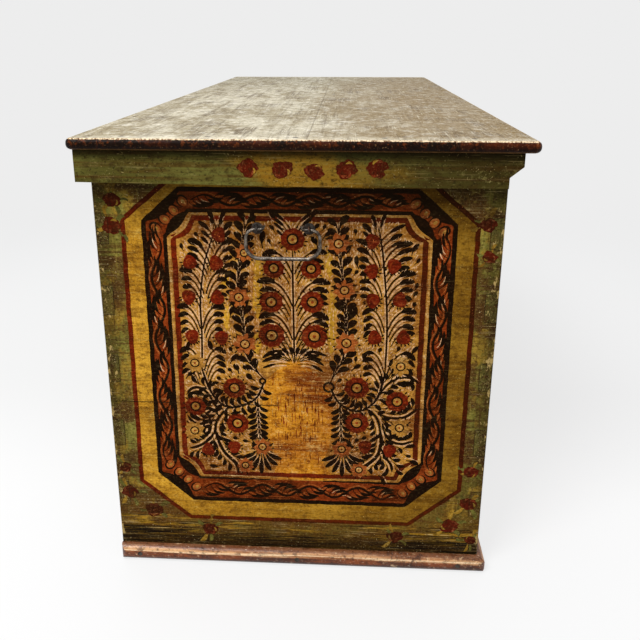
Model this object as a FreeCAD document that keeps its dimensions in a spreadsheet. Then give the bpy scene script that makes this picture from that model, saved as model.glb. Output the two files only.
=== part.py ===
"""Painted wedding chest, in millimetres.

X runs along the chest, -Y is the front and +Z is up. The origin is on the floor, under the middle
of the carcass. The chest stands on a nailed bottom behind a base moulding, its walls are two
planks high and dovetailed at the corners, and the lid with its two end cleats turns on strap
hinges. Inside are a till with its own pivoted lid and a box lock whose bolt passes a catch.
"""
import FreeCAD, Part
import Sketcher
import os
import re

doc = FreeCAD.newDocument("WeddingChest")
sheet = doc.addObject("Spreadsheet::Sheet", "Sizes")

SIZES = {
    # carcass: the walls stand on the bottom planks
    "body_length": 1430,
    "body_depth": 550,
    "wall_height": 620,
    "wall_thickness": 18,
    "bottom_thickness": 22,
    "bottom_planks": 3,
    "front_plank_height": 353,
    "end_plank_height": 249,
    "corner_round": 2.5,
    # dovetails, seen as rows of end grain on the end faces
    "tail_count": 5,
    "tail_pitch": 104,
    "first_tail_rise": 93,
    "tail_end_height": 44,
    "tail_root_height": 33,
    # base moulding round the front and the two ends
    "moulding_height": 26,
    "moulding_projection": 12,
    "moulding_top_round": 11.5,
    "moulding_foot_round": 11,
    "moulding_corner_round": 9,
    # lid and its end cleats
    "lid_thickness": 15,
    "lid_end_overhang": 38,
    "lid_front_overhang": 30,
    "lid_back_overhang": 18,
    "lid_front_plank_width": 290,
    "lid_corner_round": 10,
    "lid_edge_round": 6.5,
    "lid_seat_gap": 0.3,
    "cleat_thickness": 24,
    "cleat_gap": 1,
    "cleat_front_height": 46,
    "cleat_back_height": 43,
    "cleat_overhang": 12,
    "cleat_toe_setback": 5,
    "cleat_nose_drop": 18,
    "cleat_nose_slope": 14,
    # strap hinges on the back
    "hinge_inset": 250,
    "hinge_width": 32,
    "hinge_plate": 3,
    "leaf_length": 190,
    "strap_length": 240,
    "hinge_standoff": 6.5,
    "hinge_drop": 5.5,
    "barrel_radius": 5,
    "outer_knuckle": 8,
    "knuckle_gap": 0.3,
    "pin_radius": 2.4,
    "pin_head_radius": 4,
    "pin_head_length": 1.5,
    "running_clearance": 0.08,
    "notch_side_gap": 0.5,
    # end handles: a bail that hangs in two eyes
    "handle_drop": 107,
    "handle_offset": 18,
    "handle_standoff": 9,
    "eye_spacing": 70,
    "eye_wire": 1.8,
    "bail_clearance": 0.3,
    "bail_drop": 40,
    "bail_end_radius": 2.2,
    "bail_grip_radius": 2.7,
    "bail_inner_run": 5,
    "bail_outer_run": 2.6,
    "bail_shoulder": 12,
    "bail_corner": 18,
    "bail_tip_bend": 4,
    "bail_tip_radius": 2.9,
    "bail_tip_length": 1.5,
    "eye_shank_radius": 2.6,
    "clench_thickness": 2.5,
    "clench_width": 5,
    "clench_length": 16,
    "rose_radius": 8,
    "rose_thickness": 1.5,
    # lock
    "lock_top_drop": 5,
    "lock_plate_width": 150,
    "lock_plate_height": 98,
    "lock_plate_thickness": 2,
    "lock_case_width": 104,
    "lock_case_height": 80,
    "lock_case_depth": 18,
    "lock_case_wall": 2,
    "lock_nail_inset": 10,
    "key_drop": 60,
    "bolt_rise": 17,
    "bolt_height": 10,
    "bolt_thickness": 5,
    "bolt_length": 66,
    "bolt_nose": 22,
    "bolt_fit": 0.15,
    "guide_width": 6,
    "guide_wall": 4,
    "guide_spacing": 18,
    "guide_setback": 2,
    "lug_start": 4.2,
    "lug_width": 6,
    "lug_overlap": 1,
    "catch_distance": 28,
    "catch_thickness": 4,
    "catch_leg": 2.5,
    "catch_foot": 4.5,
    "catch_fit": 1.25,
    "catch_plate_width": 44,
    "catch_plate_thickness": 2.5,
    "catch_nail_spacing": 30,
    "slot_side_gap": 3,
    # key and escutcheon
    "key_radius": 3.5,
    "key_reach": 14,
    "key_bit_thickness": 3,
    "key_bit_width": 12,
    "key_bit_setback": 2,
    "key_ward_width": 2.5,
    "key_ward_depth": 6,
    "key_bow_radius": 12,
    "key_bow_wire": 2.6,
    "key_stem": 18,
    "key_collar_radius": 5.2,
    "key_collar_length": 3,
    "keyhole_fit": 0.6,
    "escutcheon_thickness": 1.5,
    "escutcheon_radius": 21,
    "escutcheon_lobe": 11,
    "escutcheon_rise": 24,
    "escutcheon_fall": 34,
    # till inside the left end
    "till_width": 120,
    "till_height": 110,
    "till_board": 12,
    "till_floor": 10,
    "till_drop": 120,
    "till_housing": 6,
    "till_lid_thickness": 12,
    "till_lid_overhang": 4,
    "till_wall_gap": 5,
    "till_side_gap": 1,
    "till_pin_radius": 4,
    "till_pin_reach": 8,
    # nails
    "nail_radius": 1.8,
    "nail_tip_radius": 0.6,
    "nail_head_radius": 3.8,
    "nail_head_height": 1.8,
    "nail_crown_radius": 1.8,
    "bottom_nail_length": 50,
    "moulding_nail_length": 34,
    "cleat_nail_length": 45,
    "short_nail_length": 14,
    "bottom_nail_inset": 60,
    "bottom_nail_count": 7,
    "bottom_end_nail_count": 4,
    "moulding_nail_inset": 30,
    "moulding_nail_count": 6,
    "moulding_end_nail_count": 3,
    "cleat_nail_inset": 50,
    "cleat_nail_count": 5,
    "hinge_nail_inset": 24,
    "hinge_nail_count": 4,
    # how far a cutting solid runs past what it cuts
    "overrun": 5,
}

SUMS = {
    "half_length": "body_length / 2",
    "half_depth": "body_depth / 2",
    "inner_half_length": "half_length - wall_thickness",
    "inner_half_depth": "half_depth - wall_thickness",
    "wall_top": "bottom_thickness + wall_height",
    "lid_under": "wall_top + lid_seat_gap",
    "lid_length": "body_length + 2 * lid_end_overhang",
    "lid_width": "body_depth + lid_front_overhang + lid_back_overhang",
    "cleat_x": "half_length + cleat_gap + cleat_thickness / 2",
    "hinge_x": "half_length - hinge_inset",
    "axis_y": "half_depth + hinge_standoff",
    "axis_z": "wall_top - hinge_drop",
    "middle_knuckle": "hinge_width - 2 * (outer_knuckle + knuckle_gap)",
    "handle_x": "half_length + handle_standoff",
    "handle_z": "wall_top - handle_drop",
    "eye_radius": "bail_end_radius + bail_clearance + eye_wire",
    "bail_half_width": "eye_spacing / 2 + bail_outer_run + bail_shoulder",
    "lock_top": "wall_top - lock_top_drop",
    "plate_back": "lock_plate_thickness - inner_half_depth",
    "case_inner_depth": "lock_case_depth - lock_case_wall",
    "bolt_y": "plate_back + case_inner_depth / 2",
    "key_z": "wall_top - key_drop",
    "bolt_z": "key_z + bolt_rise",
    "catch_width": "bolt_thickness + 2 * (catch_fit + catch_leg)",
    "key_outer_y": "half_depth + escutcheon_thickness + key_stem",
    "escutcheon_y": "half_depth + escutcheon_thickness",
    "inner_depth": "body_depth - 2 * wall_thickness",
    "till_lid_z": "wall_top - till_drop - till_lid_thickness / 2",
    "till_lid_x": "till_wall_gap + till_lid_thickness / 2 - inner_half_length",
    "till_top": "till_lid_z - till_lid_thickness / 2 - lid_seat_gap",
}

X = FreeCAD.Vector(1, 0, 0)
Y = FreeCAD.Vector(0, 1, 0)
Z = FreeCAD.Vector(0, 0, 1)
WORD = re.compile(r"[a-z][a-z_]+")
PARTS = []


def write_sheet():
    for row, (name, value) in enumerate(SIZES.items(), 1):
        sheet.set(f"A{row}", name.replace("_", " "))
        sheet.set(f"B{row}", str(value))
        sheet.setAlias(f"B{row}", name)
    doc.recompute()


def bound(text):
    """The sum with each size named as a cell of the sheet, and each named sum written out."""
    def cell(word):
        name = word.group()
        if name in SUMS:
            return f"({bound(SUMS[name])})"
        return f"Sizes.{name}" if name in SIZES else name
    return WORD.sub(cell, text)


def bind(thing, **sums):
    for name, text in sums.items():
        thing.setExpression(name, bound(text))
    return thing


def place(thing, at, along=X, into=Z):
    """Put thing's own X along one direction, its own Z into another, and its origin at three sums."""
    rotation = FreeCAD.Rotation(along, into.cross(along), into)
    thing.Placement = FreeCAD.Placement(FreeCAD.Vector(), rotation)
    for axis, text in zip("xyz", at):
        thing.setExpression(f"Placement.Base.{axis}", bound(text))
    return thing


def box(name, length, width, height, at):
    thing = doc.addObject("Part::Box", name)
    bind(thing, Length=length, Width=width, Height=height)
    return place(thing, at)


def cylinder(name, radius, length, at, into=Z):
    thing = doc.addObject("Part::Cylinder", name)
    bind(thing, Radius=radius, Height=length)
    return place(thing, at, Y if into == X else X if into == Z or into == -Z else Z, into)


def ring(name, radius, wire, at, axis, start=None, angle=360):
    thing = doc.addObject("Part::Torus", name)
    thing.Angle3 = angle
    bind(thing, Radius1=radius, Radius2=wire)
    return place(thing, at, start or Z, axis)


def fuse(name, things):
    thing = doc.addObject("Part::MultiFuse", name)
    thing.Shapes = things
    return thing


def group(name, things):
    thing = doc.addObject("Part::Compound", name)
    thing.Links = things
    return thing


def cut(name, base, *tools):
    """Base less each tool in turn, the last cut taking the name."""
    for number, tool in enumerate(tools, 1):
        last = number == len(tools)
        step = doc.addObject("Part::Cut", name if last else f"{name}_less_{tool.Name}")
        step.Base = base
        step.Tool = tool
        base = step
    return base


def common(name, first, second):
    thing = doc.addObject("Part::Common", name)
    thing.Base = first
    thing.Tool = second
    return thing


def subpart(label, thing):
    thing.Label = label
    PARTS.append(thing)
    return thing


def round_edges(body, name, radius, chosen):
    """Round the edges of the body's last feature that chosen picks."""
    doc.recompute()
    base = body.Tip
    edges = [f"Edge{n}" for n, edge in enumerate(base.Shape.Edges, 1) if chosen(edge)]
    fillet = body.newObject("PartDesign::Fillet", name)
    fillet.Base = (base, edges)
    bind(fillet, Radius=radius)
    return fillet


def upright(edge):
    return edge.BoundBox.ZLength > edge.BoundBox.DiagonalLength / 2


def box_body(name, length, width, height, at):
    body = doc.addObject("PartDesign::Body", name)
    block = body.newObject("PartDesign::AdditiveBox", f"{name}_block")
    bind(block, Length=length, Width=width, Height=height)
    place(body, at)
    return body


def nail_row(name, length, at, along, into, run, count, proud=False):
    """Forged nails in a row from at, their points into the wood. A flush head is sunk in it."""
    body = doc.addObject("PartDesign::Body", name)
    body.AllowCompound = True
    shank = body.newObject("PartDesign::AdditiveCone", f"{name}_shank")
    bind(shank, Radius1="nail_radius", Radius2="nail_tip_radius", Height=length)
    head = body.newObject("PartDesign::AdditiveCone", f"{name}_head")
    if proud:
        bind(head, Radius1="nail_crown_radius", Radius2="nail_head_radius", Height="nail_head_height")
        place(head, ("0", "0", "-nail_head_height"))
    else:
        bind(head, Radius1="nail_head_radius", Radius2="nail_radius", Height="nail_head_height")
    row = body.newObject("PartDesign::LinearPattern", f"{name}_pattern")
    row.Originals = [shank, head]
    row.Direction = (next(f for f in body.Origin.OriginFeatures if f.Role == "X_Axis"), [""])
    bind(row, Length=run, Occurrences=count)
    body.Tip = row
    return place(body, at, along, into)


def make_hinges():
    """Two strap hinges: a fixed leaf on the back, a strap under the lid, and a headed pin."""
    made = {}
    for side, sign in (("left", "-"), ("right", "")):
        centre = f"{sign}(hinge_x)"
        start = f"{centre} - hinge_width / 2"
        end_knuckle = f"{centre} + hinge_width / 2 - outer_knuckle"
        middle = f"{centre} - middle_knuckle / 2"
        bore = cylinder(f"{side}_hinge_bore", "pin_radius + running_clearance", "hinge_width + 2 * overrun",
                        (f"{start} - overrun", "axis_y", "axis_z"), X)
        leaf_nails = nail_row(f"{side}_leaf_nail_row", "short_nail_length",
                              (centre, "half_depth + hinge_plate",
                               "axis_z - barrel_radius - hinge_nail_inset"), -Z, -Y,
                              "leaf_length - barrel_radius - hinge_nail_inset", "hinge_nail_count", True)
        leaf = [box(f"{side}_leaf_plate", "hinge_width", "hinge_plate",
                    "leaf_length - barrel_radius - knuckle_gap",
                    (start, "half_depth", "axis_z - leaf_length")),
                cylinder(f"{side}_leaf_tip", "hinge_width / 2", "hinge_plate",
                         (centre, "half_depth", "axis_z - leaf_length"), Y)]
        for number, knuckle in enumerate((start, end_knuckle), 1):
            leaf.append(cylinder(f"{side}_leaf_knuckle_{number}", "barrel_radius", "outer_knuckle",
                                 (knuckle, "axis_y", "axis_z"), X))
            leaf.append(box(f"{side}_leaf_neck_{number}", "outer_knuckle", "hinge_standoff",
                            "barrel_radius + hinge_plate",
                            (knuckle, "half_depth", "axis_z - barrel_radius - hinge_plate")))
        subpart(f"{side}_hinge_leaf",
                cut(f"{side}_hinge_leaf", fuse(f"{side}_leaf_forged", leaf), bore, leaf_nails))

        strap_nails = nail_row(f"{side}_strap_nail_row", "short_nail_length",
                               (centre, "inner_half_depth - hinge_nail_inset", "lid_under - hinge_plate"),
                               -Y, Z, "strap_length - wall_thickness - hinge_nail_inset",
                               "hinge_nail_count", True)
        strap = [box(f"{side}_strap_plate", "hinge_width", "strap_length", "hinge_plate",
                     (start, "half_depth - strap_length", "lid_under - hinge_plate")),
                 cylinder(f"{side}_strap_tip", "hinge_width / 2", "hinge_plate",
                          (centre, "half_depth - strap_length", "lid_under - hinge_plate")),
                 box(f"{side}_strap_tongue", "middle_knuckle", "hinge_standoff", "hinge_plate",
                     (middle, "half_depth", "lid_under - hinge_plate")),
                 cylinder(f"{side}_strap_knuckle", "barrel_radius", "middle_knuckle",
                          (middle, "axis_y", "axis_z"), X)]
        subpart(f"{side}_hinge_strap",
                cut(f"{side}_hinge_strap", fuse(f"{side}_strap_forged", strap), bore, strap_nails))

        head_start = f"{start} - knuckle_gap - pin_head_length"
        head_end = f"{centre} + hinge_width / 2 + knuckle_gap"
        pin = [cylinder(f"{side}_pin_shank", "pin_radius",
                        "hinge_width + 2 * (knuckle_gap + pin_head_length)",
                        (head_start, "axis_y", "axis_z"), X)]
        for number, head in enumerate((head_start, head_end), 1):
            pin.append(cylinder(f"{side}_pin_head_{number}", "pin_head_radius", "pin_head_length",
                                (head, "axis_y", "axis_z"), X))
        subpart(f"{side}_hinge_pin", fuse(f"{side}_hinge_pin", pin))
        made[f"{side}_notch"] = box(f"{side}_hinge_notch", "hinge_width + 2 * notch_side_gap",
                                    "wall_thickness + 2 * overrun", "hinge_plate + overrun",
                                    (f"{start} - notch_side_gap", "inner_half_depth - overrun",
                                     "wall_top - hinge_plate"))
        made[f"{side}_leaf_nails"] = leaf_nails
        made[f"{side}_strap_nails"] = strap_nails
    for piece in ("leaf", "strap"):
        pair = [made[f"{side}_{piece}_nails"] for side in ("left", "right")]
        made[f"{piece}_nails"] = subpart(f"hinge_{piece}_nails", group(f"hinge_{piece}_nails", pair))
    return made


def make_handles():
    """An iron bail in two clenched eyes on each end, a little nearer the back than the middle.

    The bail is forged about its own pivot and then hung in the eyes.
    """
    made = {}
    for side, sign, inward in (("left", "-", X), ("right", "", -X)):
        plane = f"{sign}(handle_x)"
        face = f"{sign}(half_length)"
        bail = [cylinder(f"{side}_bail_grip", "bail_grip_radius", "2 * (bail_half_width - bail_corner)",
                         ("0", "bail_corner - bail_half_width", "-bail_drop"), Y)]
        eyes = []
        roses = []
        for number, (hand, way) in enumerate((("-", -1), ("+", 1)), 1):
            tag = f"{side}_bail_{number}"
            inward_hand = "-" if hand == "+" else "+"
            inner_y = f"{hand}(eye_spacing / 2) {inward_hand} bail_inner_run"
            arm_y = f"{hand}(bail_half_width)"
            turn = X * -way
            bail.append(ring(f"{tag}_shoulder", "bail_shoulder", "bail_end_radius",
                             ("0", f"{arm_y} {inward_hand} bail_shoulder", "-bail_shoulder"),
                             turn, Z, 90))
            arm = doc.addObject("Part::Cone", f"{tag}_arm")
            bind(arm, Radius1="bail_end_radius", Radius2="bail_grip_radius",
                 Height="bail_drop - bail_shoulder - bail_corner")
            bail.append(place(arm, ("0", arm_y, "-bail_shoulder"), X, -Z))
            bail.append(ring(f"{tag}_corner", "bail_corner", "bail_grip_radius",
                             ("0", f"{arm_y} {inward_hand} bail_corner", "bail_corner - bail_drop"),
                             turn, Y * way, 90))
            bail.append(cylinder(f"{tag}_run", "bail_end_radius", "bail_inner_run + bail_outer_run",
                                 ("0", inner_y, "0"), Y * way))
            bail.append(ring(f"{tag}_tip_bend", "bail_tip_bend", "bail_end_radius",
                             ("0", inner_y, "bail_tip_bend"), turn, -Z, 90))
            bail.append(cylinder(f"{tag}_tip", "bail_tip_radius", "bail_tip_length",
                                 ("0", f"{inner_y} {inward_hand} bail_tip_bend", "bail_tip_bend")))

            eye_y = f"handle_offset {hand} eye_spacing / 2"
            eye = f"{side}_eye_{number}"
            shank_length = "handle_standoff - eye_radius + wall_thickness + clench_thickness"
            leg_x = f"{sign}(inner_half_length)" + (" - clench_thickness" if sign == "" else "")
            loop = ring(f"{eye}_loop", "eye_radius", "eye_wire", (plane, eye_y, "handle_z"), Y)
            shank = cylinder(f"{eye}_shank", "eye_shank_radius", shank_length,
                             (f"{plane} {'+' if sign == '-' else '-'} eye_radius", eye_y, "handle_z"),
                             inward)
            leg = box(f"{eye}_leg", "clench_thickness", "clench_width", "clench_length",
                      (leg_x, f"{eye_y} - clench_width / 2", "handle_z - clench_length"))
            shank_cut = cut(f"{eye}_open_shank", shank,
                            cylinder(f"{eye}_hole", "eye_radius", "2 * eye_shank_radius + 2 * overrun",
                                     (plane, f"{eye_y} - eye_shank_radius - overrun", "handle_z"), Y))
            eyes.append(fuse(eye, [loop, shank_cut, leg]))
            rose_x = face if sign == "" else f"{face} - rose_thickness"
            roses.append(cylinder(f"{side}_rose_{number}_disc", "rose_radius", "rose_thickness",
                                  (rose_x, eye_y, "handle_z"), X))
        hung = place(fuse(f"{side}_handle_bail", bail), (plane, "handle_offset", "handle_z"))
        subpart(f"{side}_handle_bail", hung)
        made[side] = subpart(f"{side}_handle_eyes", group(f"{side}_handle_eyes", eyes))
        subpart(f"{side}_handle_roses",
                cut(f"{side}_handle_roses", group(f"{side}_rose_discs", roses), made[side]))
    return made


def make_lock():
    """Box lock inside the front: plate, case with two guides, sliding bolt, key and escutcheon."""
    passage = fuse("key_passage", [
        cylinder("key_passage_bore", "key_radius + keyhole_fit",
                 "escutcheon_y + plate_back + overrun",
                 ("0", "-(escutcheon_y) - overrun", "key_z"), Y),
        box("key_passage_slot", "key_bit_thickness + 2 * keyhole_fit",
            "escutcheon_y + plate_back + overrun", "key_reach + keyhole_fit",
            ("-key_bit_thickness / 2 - keyhole_fit", "-(escutcheon_y) - overrun",
             "key_z - key_reach - keyhole_fit"))])
    nails = group("lock_nail_rows", [
        nail_row(f"lock_{side}_nail_row", "short_nail_length",
                 (f"{sign}(lock_plate_width / 2 - lock_nail_inset)", "plate_back",
                  "lock_top - lock_plate_height + lock_nail_inset"), Z, -Y,
                 "lock_plate_height - 2 * lock_nail_inset", "2", True)
        for side, sign in (("left", "-"), ("right", ""))])
    subpart("lock_nails", nails)
    plate = box("lock_plate_blank", "lock_plate_width", "lock_plate_thickness", "lock_plate_height",
                ("-lock_plate_width / 2", "-(inner_half_depth)", "lock_top - lock_plate_height"))
    subpart("lock_plate", cut("lock_plate", plate, passage, nails))

    case = box("lock_case_blank", "lock_case_width", "lock_case_depth", "lock_case_height",
               ("-lock_case_width / 2", "plate_back", "lock_top - lock_case_height"))
    hollow = box("lock_case_hollow", "lock_case_width - 2 * lock_case_wall", "case_inner_depth",
                 "lock_case_height - 2 * lock_case_wall",
                 ("lock_case_wall - lock_case_width / 2", "plate_back",
                  "lock_top - lock_case_height + lock_case_wall"))
    slot = box("lock_case_slot", "catch_thickness + 2 * slot_side_gap", "case_inner_depth",
               "lock_case_wall + 2 * overrun",
               ("catch_distance - catch_thickness / 2 - slot_side_gap", "plate_back",
                "lock_top - lock_case_wall - overrun"))
    pivot = cylinder("key_pivot_bore", "key_radius + running_clearance", "lock_case_wall + 2 * overrun",
                     ("0", "plate_back + case_inner_depth - overrun", "key_z"), Y)
    shell = cut("lock_case_shell", case, hollow, slot, pivot)
    guides = [box(f"bolt_guide_{n}", "guide_width", "case_inner_depth", "bolt_height + 2 * guide_wall",
                  (f"-guide_setback - guide_width - {n} * guide_spacing", "plate_back",
                   "bolt_z - guide_wall")) for n in (0, 1)]
    channel = box("bolt_channel", "bolt_length + 2 * guide_spacing", "bolt_thickness + 2 * bolt_fit",
                  "bolt_height + 2 * bolt_fit",
                  ("bolt_nose - bolt_length - guide_spacing", "bolt_y - bolt_thickness / 2 - bolt_fit",
                   "bolt_z - bolt_fit"))
    guided = cut("bolt_guides", group("bolt_guide_blanks", guides), channel)
    subpart("lock_case", fuse("lock_case", [shell, guided]))

    subpart("lock_bolt", fuse("lock_bolt", [
        box("bolt_bar", "bolt_length", "bolt_thickness", "bolt_height",
            ("bolt_nose - bolt_length", "bolt_y - bolt_thickness / 2", "bolt_z")),
        box("bolt_lug", "lug_width", "bolt_thickness", "bolt_rise + lug_overlap",
            ("lug_start", "bolt_y - bolt_thickness / 2", "bolt_z - bolt_rise - lug_overlap"))]))

    bow_y = "-(key_outer_y) - key_bow_radius"
    bit = box("key_bit_blank", "key_bit_thickness", "key_bit_width", "key_reach",
              ("-key_bit_thickness / 2", "plate_back + key_bit_setback", "key_z - key_reach"))
    ward = box("key_ward", "key_bit_thickness + 2 * overrun", "key_ward_width", "key_ward_depth + overrun",
               ("-key_bit_thickness / 2 - overrun",
                "plate_back + key_bit_setback + key_bit_width / 4 - key_ward_width / 2",
                "key_z - key_reach - overrun"))
    subpart("key", fuse("key", [
        cylinder("key_shank", "key_radius", "key_outer_y + plate_back + lock_case_depth",
                 ("0", "-(key_outer_y)", "key_z"), Y),
        cylinder("key_collar", "key_collar_radius", "key_collar_length",
                 ("0", "-(escutcheon_y) - keyhole_fit - key_collar_length", "key_z"), Y),
        cut("key_bit", bit, ward),
        ring("key_bow", "key_bow_radius", "key_bow_wire", ("0", bow_y, "key_z"), X, Z)]))

    escutcheon_nails = subpart("escutcheon_nails", nail_row(
        "escutcheon_nails", "short_nail_length",
        ("0", "-(escutcheon_y)", "key_z - escutcheon_fall"), Z, Y,
        "escutcheon_rise + escutcheon_fall", "2", True))
    discs = [("middle", "escutcheon_radius", "key_z - key_bit_width / 4"),
             ("top", "escutcheon_lobe", "key_z + escutcheon_rise"),
             ("foot", "escutcheon_lobe", "key_z - escutcheon_fall")]
    shield = fuse("escutcheon_blank", [
        cylinder(f"escutcheon_{name}", radius, "escutcheon_thickness",
                 ("0", "-(escutcheon_y)", height), Y) for name, radius, height in discs])
    subpart("escutcheon", cut("escutcheon", shield, passage, escutcheon_nails))
    return {"passage": passage, "nails": nails, "escutcheon_nails": escutcheon_nails}


def make_catch():
    """Iron loop under the lid that drops into the lock for the bolt to pass."""
    start = "catch_distance - catch_thickness / 2"
    drop = "lid_under - catch_plate_thickness - bolt_z + catch_fit + catch_foot"
    foot_z = "bolt_z - catch_fit - catch_foot"
    nails = subpart("catch_nails", nail_row(
        "catch_nails", "short_nail_length",
        ("catch_distance - catch_nail_spacing / 2", "bolt_y", "lid_under - catch_plate_thickness"), X, Z,
        "catch_nail_spacing", "2", True))
    blank = fuse("catch_forged", [
        box("catch_plate", "catch_plate_width", "catch_width", "catch_plate_thickness",
            ("catch_distance - catch_plate_width / 2", "bolt_y - catch_width / 2",
             "lid_under - catch_plate_thickness")),
        box("catch_front_leg", "catch_thickness", "catch_leg", drop,
            (start, "bolt_y - catch_width / 2", foot_z)),
        box("catch_rear_leg", "catch_thickness", "catch_leg", drop,
            (start, "bolt_y + catch_width / 2 - catch_leg", foot_z)),
        box("catch_foot_bar", "catch_thickness", "catch_width", "catch_foot",
            (start, "bolt_y - catch_width / 2", foot_z))])
    subpart("lid_catch", cut("lid_catch", blank, nails))
    return nails


def make_till():
    """Small box across the left end, its boards housed in the walls, its lid on wooden pins."""
    floor_z = "till_top - till_height"
    housed_y = "-(inner_half_depth) - till_housing"
    housed_length = "inner_depth + 2 * till_housing"
    front = box("till_front", "till_board", housed_length, "till_height",
                ("till_width - till_board - inner_half_length", housed_y, floor_z))
    floor = box("till_floor", "till_width - till_board", housed_length, "till_floor",
                ("-(inner_half_length)", housed_y, floor_z))
    subpart("till_front", front)
    subpart("till_floor", floor)
    lid_y = "till_side_gap - inner_half_depth"
    lid_length = "inner_depth - 2 * till_side_gap"
    subpart("till_lid", fuse("till_lid", [
        box("till_lid_board",
            "till_width + till_lid_overhang - till_wall_gap - till_lid_thickness / 2",
            lid_length, "till_lid_thickness",
            ("till_lid_x", lid_y, "till_lid_z - till_lid_thickness / 2")),
        cylinder("till_lid_round", "till_lid_thickness / 2", lid_length,
                 ("till_lid_x", lid_y, "till_lid_z"), Y),
        cylinder("till_lid_pins", "till_pin_radius", "inner_depth + 2 * till_pin_reach",
                 ("till_lid_x", "-(inner_half_depth) - till_pin_reach", "till_lid_z"), Y)]))
    holes = cylinder("till_pin_holes", "till_pin_radius + running_clearance",
                     "inner_depth + 2 * (till_pin_reach + till_side_gap)",
                     ("till_lid_x", "-(inner_half_depth) - till_pin_reach - till_side_gap",
                      "till_lid_z"), Y)
    return {"front": front, "floor": floor, "holes": holes}


def make_base_nails():
    """Nails up through the bottom into the walls, and through the moulding into the bottom."""
    rail = "half_depth - wall_thickness / 2"
    rows = [nail_row(f"bottom_{side}_nail_row", "bottom_nail_length",
                     ("bottom_nail_inset - half_length", f"{sign}({rail})", "0"), X, Z,
                     "body_length - 2 * bottom_nail_inset", "bottom_nail_count")
            for side, sign in (("front", "-"), ("back", ""))]
    rows += [nail_row(f"bottom_{side}_nail_row", "bottom_nail_length",
                      (f"{sign}(half_length - wall_thickness / 2)", "bottom_nail_inset - half_depth", "0"),
                      Y, Z, "body_depth - 2 * bottom_nail_inset", "bottom_end_nail_count")
             for side, sign in (("left", "-"), ("right", ""))]
    bottom = subpart("bottom_nails", group("bottom_nails", rows))
    middle = "moulding_height / 2"
    rows = [nail_row("moulding_front_nail_row", "moulding_nail_length",
                     ("moulding_nail_inset - half_length", "-(half_depth) - moulding_projection", middle),
                     X, Y, "body_length - 2 * moulding_nail_inset", "moulding_nail_count")]
    rows += [nail_row(f"moulding_{side}_nail_row", "moulding_nail_length",
                      (f"{sign}(half_length + moulding_projection)", "moulding_nail_inset - half_depth",
                       middle), Y, inward, "body_depth - 2 * moulding_nail_inset",
                      "moulding_end_nail_count")
             for side, sign, inward in (("left", "-", X), ("right", "", -X))]
    moulding = subpart("moulding_nails", group("moulding_nails", rows))
    return bottom, moulding


def make_walls(hinges, handles, lock, till, bottom_nails):
    """Front, back and ends, each of two planks, through-dovetailed at the four corners."""
    tails = {}
    for wall, depth in (("front", "-"), ("back", "")):
        for end, length, along in (("left", "-", Y), ("right", "", -Y)):
            for number in range(int(sheet.get("tail_count"))):
                tail = doc.addObject("Part::Wedge", f"{wall}_{end}_tail_{number + 1}")
                bind(tail, Xmin="-wall_thickness / 2", Xmax="wall_thickness / 2",
                     X2min="-wall_thickness / 2", X2max="wall_thickness / 2",
                     Ymin="0", Ymax="wall_thickness",
                     Zmin="-tail_root_height / 2", Zmax="tail_root_height / 2",
                     Z2min="-tail_end_height / 2", Z2max="tail_end_height / 2")
                place(tail, (f"{length}(inner_half_length)", f"{depth}(half_depth - wall_thickness / 2)",
                             f"bottom_thickness + first_tail_rise + {number} * tail_pitch"), along)
                tails.setdefault(wall, []).append(tail)
                tails.setdefault(end, []).append(tail)

    carve = {"front": [lock["passage"], lock["nails"], lock["escutcheon_nails"], till["front"],
                       till["floor"], till["holes"], bottom_nails],
             "back": [hinges["left_notch"], hinges["right_notch"], hinges["leaf_nails"], till["front"],
                      till["floor"], till["holes"], bottom_nails],
             "left": [handles["left"], bottom_nails],
             "right": [handles["right"], bottom_nails]}
    walls = {}
    for wall, y in (("front", "-(half_depth)"), ("back", "inner_half_depth")):
        board = box(f"{wall}_board", "2 * (inner_half_length)", "wall_thickness", "wall_height",
                    ("-(inner_half_length)", y, "bottom_thickness"))
        walls[wall] = fuse(f"{wall}_wall", [board] + tails[wall])
    for wall, x in (("left", "-(half_length)"), ("right", "inner_half_length")):
        board = box(f"{wall}_board", "wall_thickness", "body_depth", "wall_height",
                    (x, "-(half_depth)", "bottom_thickness"))
        walls[wall] = cut(f"{wall}_wall", board, group(f"{wall}_sockets", tails[wall]))

    for wall, shape in walls.items():
        seam = "front_plank_height" if wall in ("front", "back") else "end_plank_height"
        node = wall if wall in ("front", "back") else f"{wall}_end"
        carved = cut(f"{wall}_carved", shape, *carve[wall])
        for level, height, foot in (("lower", seam, "bottom_thickness"),
                                    ("upper", f"wall_height - {seam}", f"bottom_thickness + {seam}")):
            course = box_body(f"{wall}_{level}_course", "body_length", "body_depth", height,
                              ("-(half_length)", "-(half_depth)", foot))
            round_edges(course, f"{wall}_{level}_corners", "corner_round", upright)
            name = f"{node}_plank_{level}"
            subpart(name, common(name, carved, course))


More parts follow.
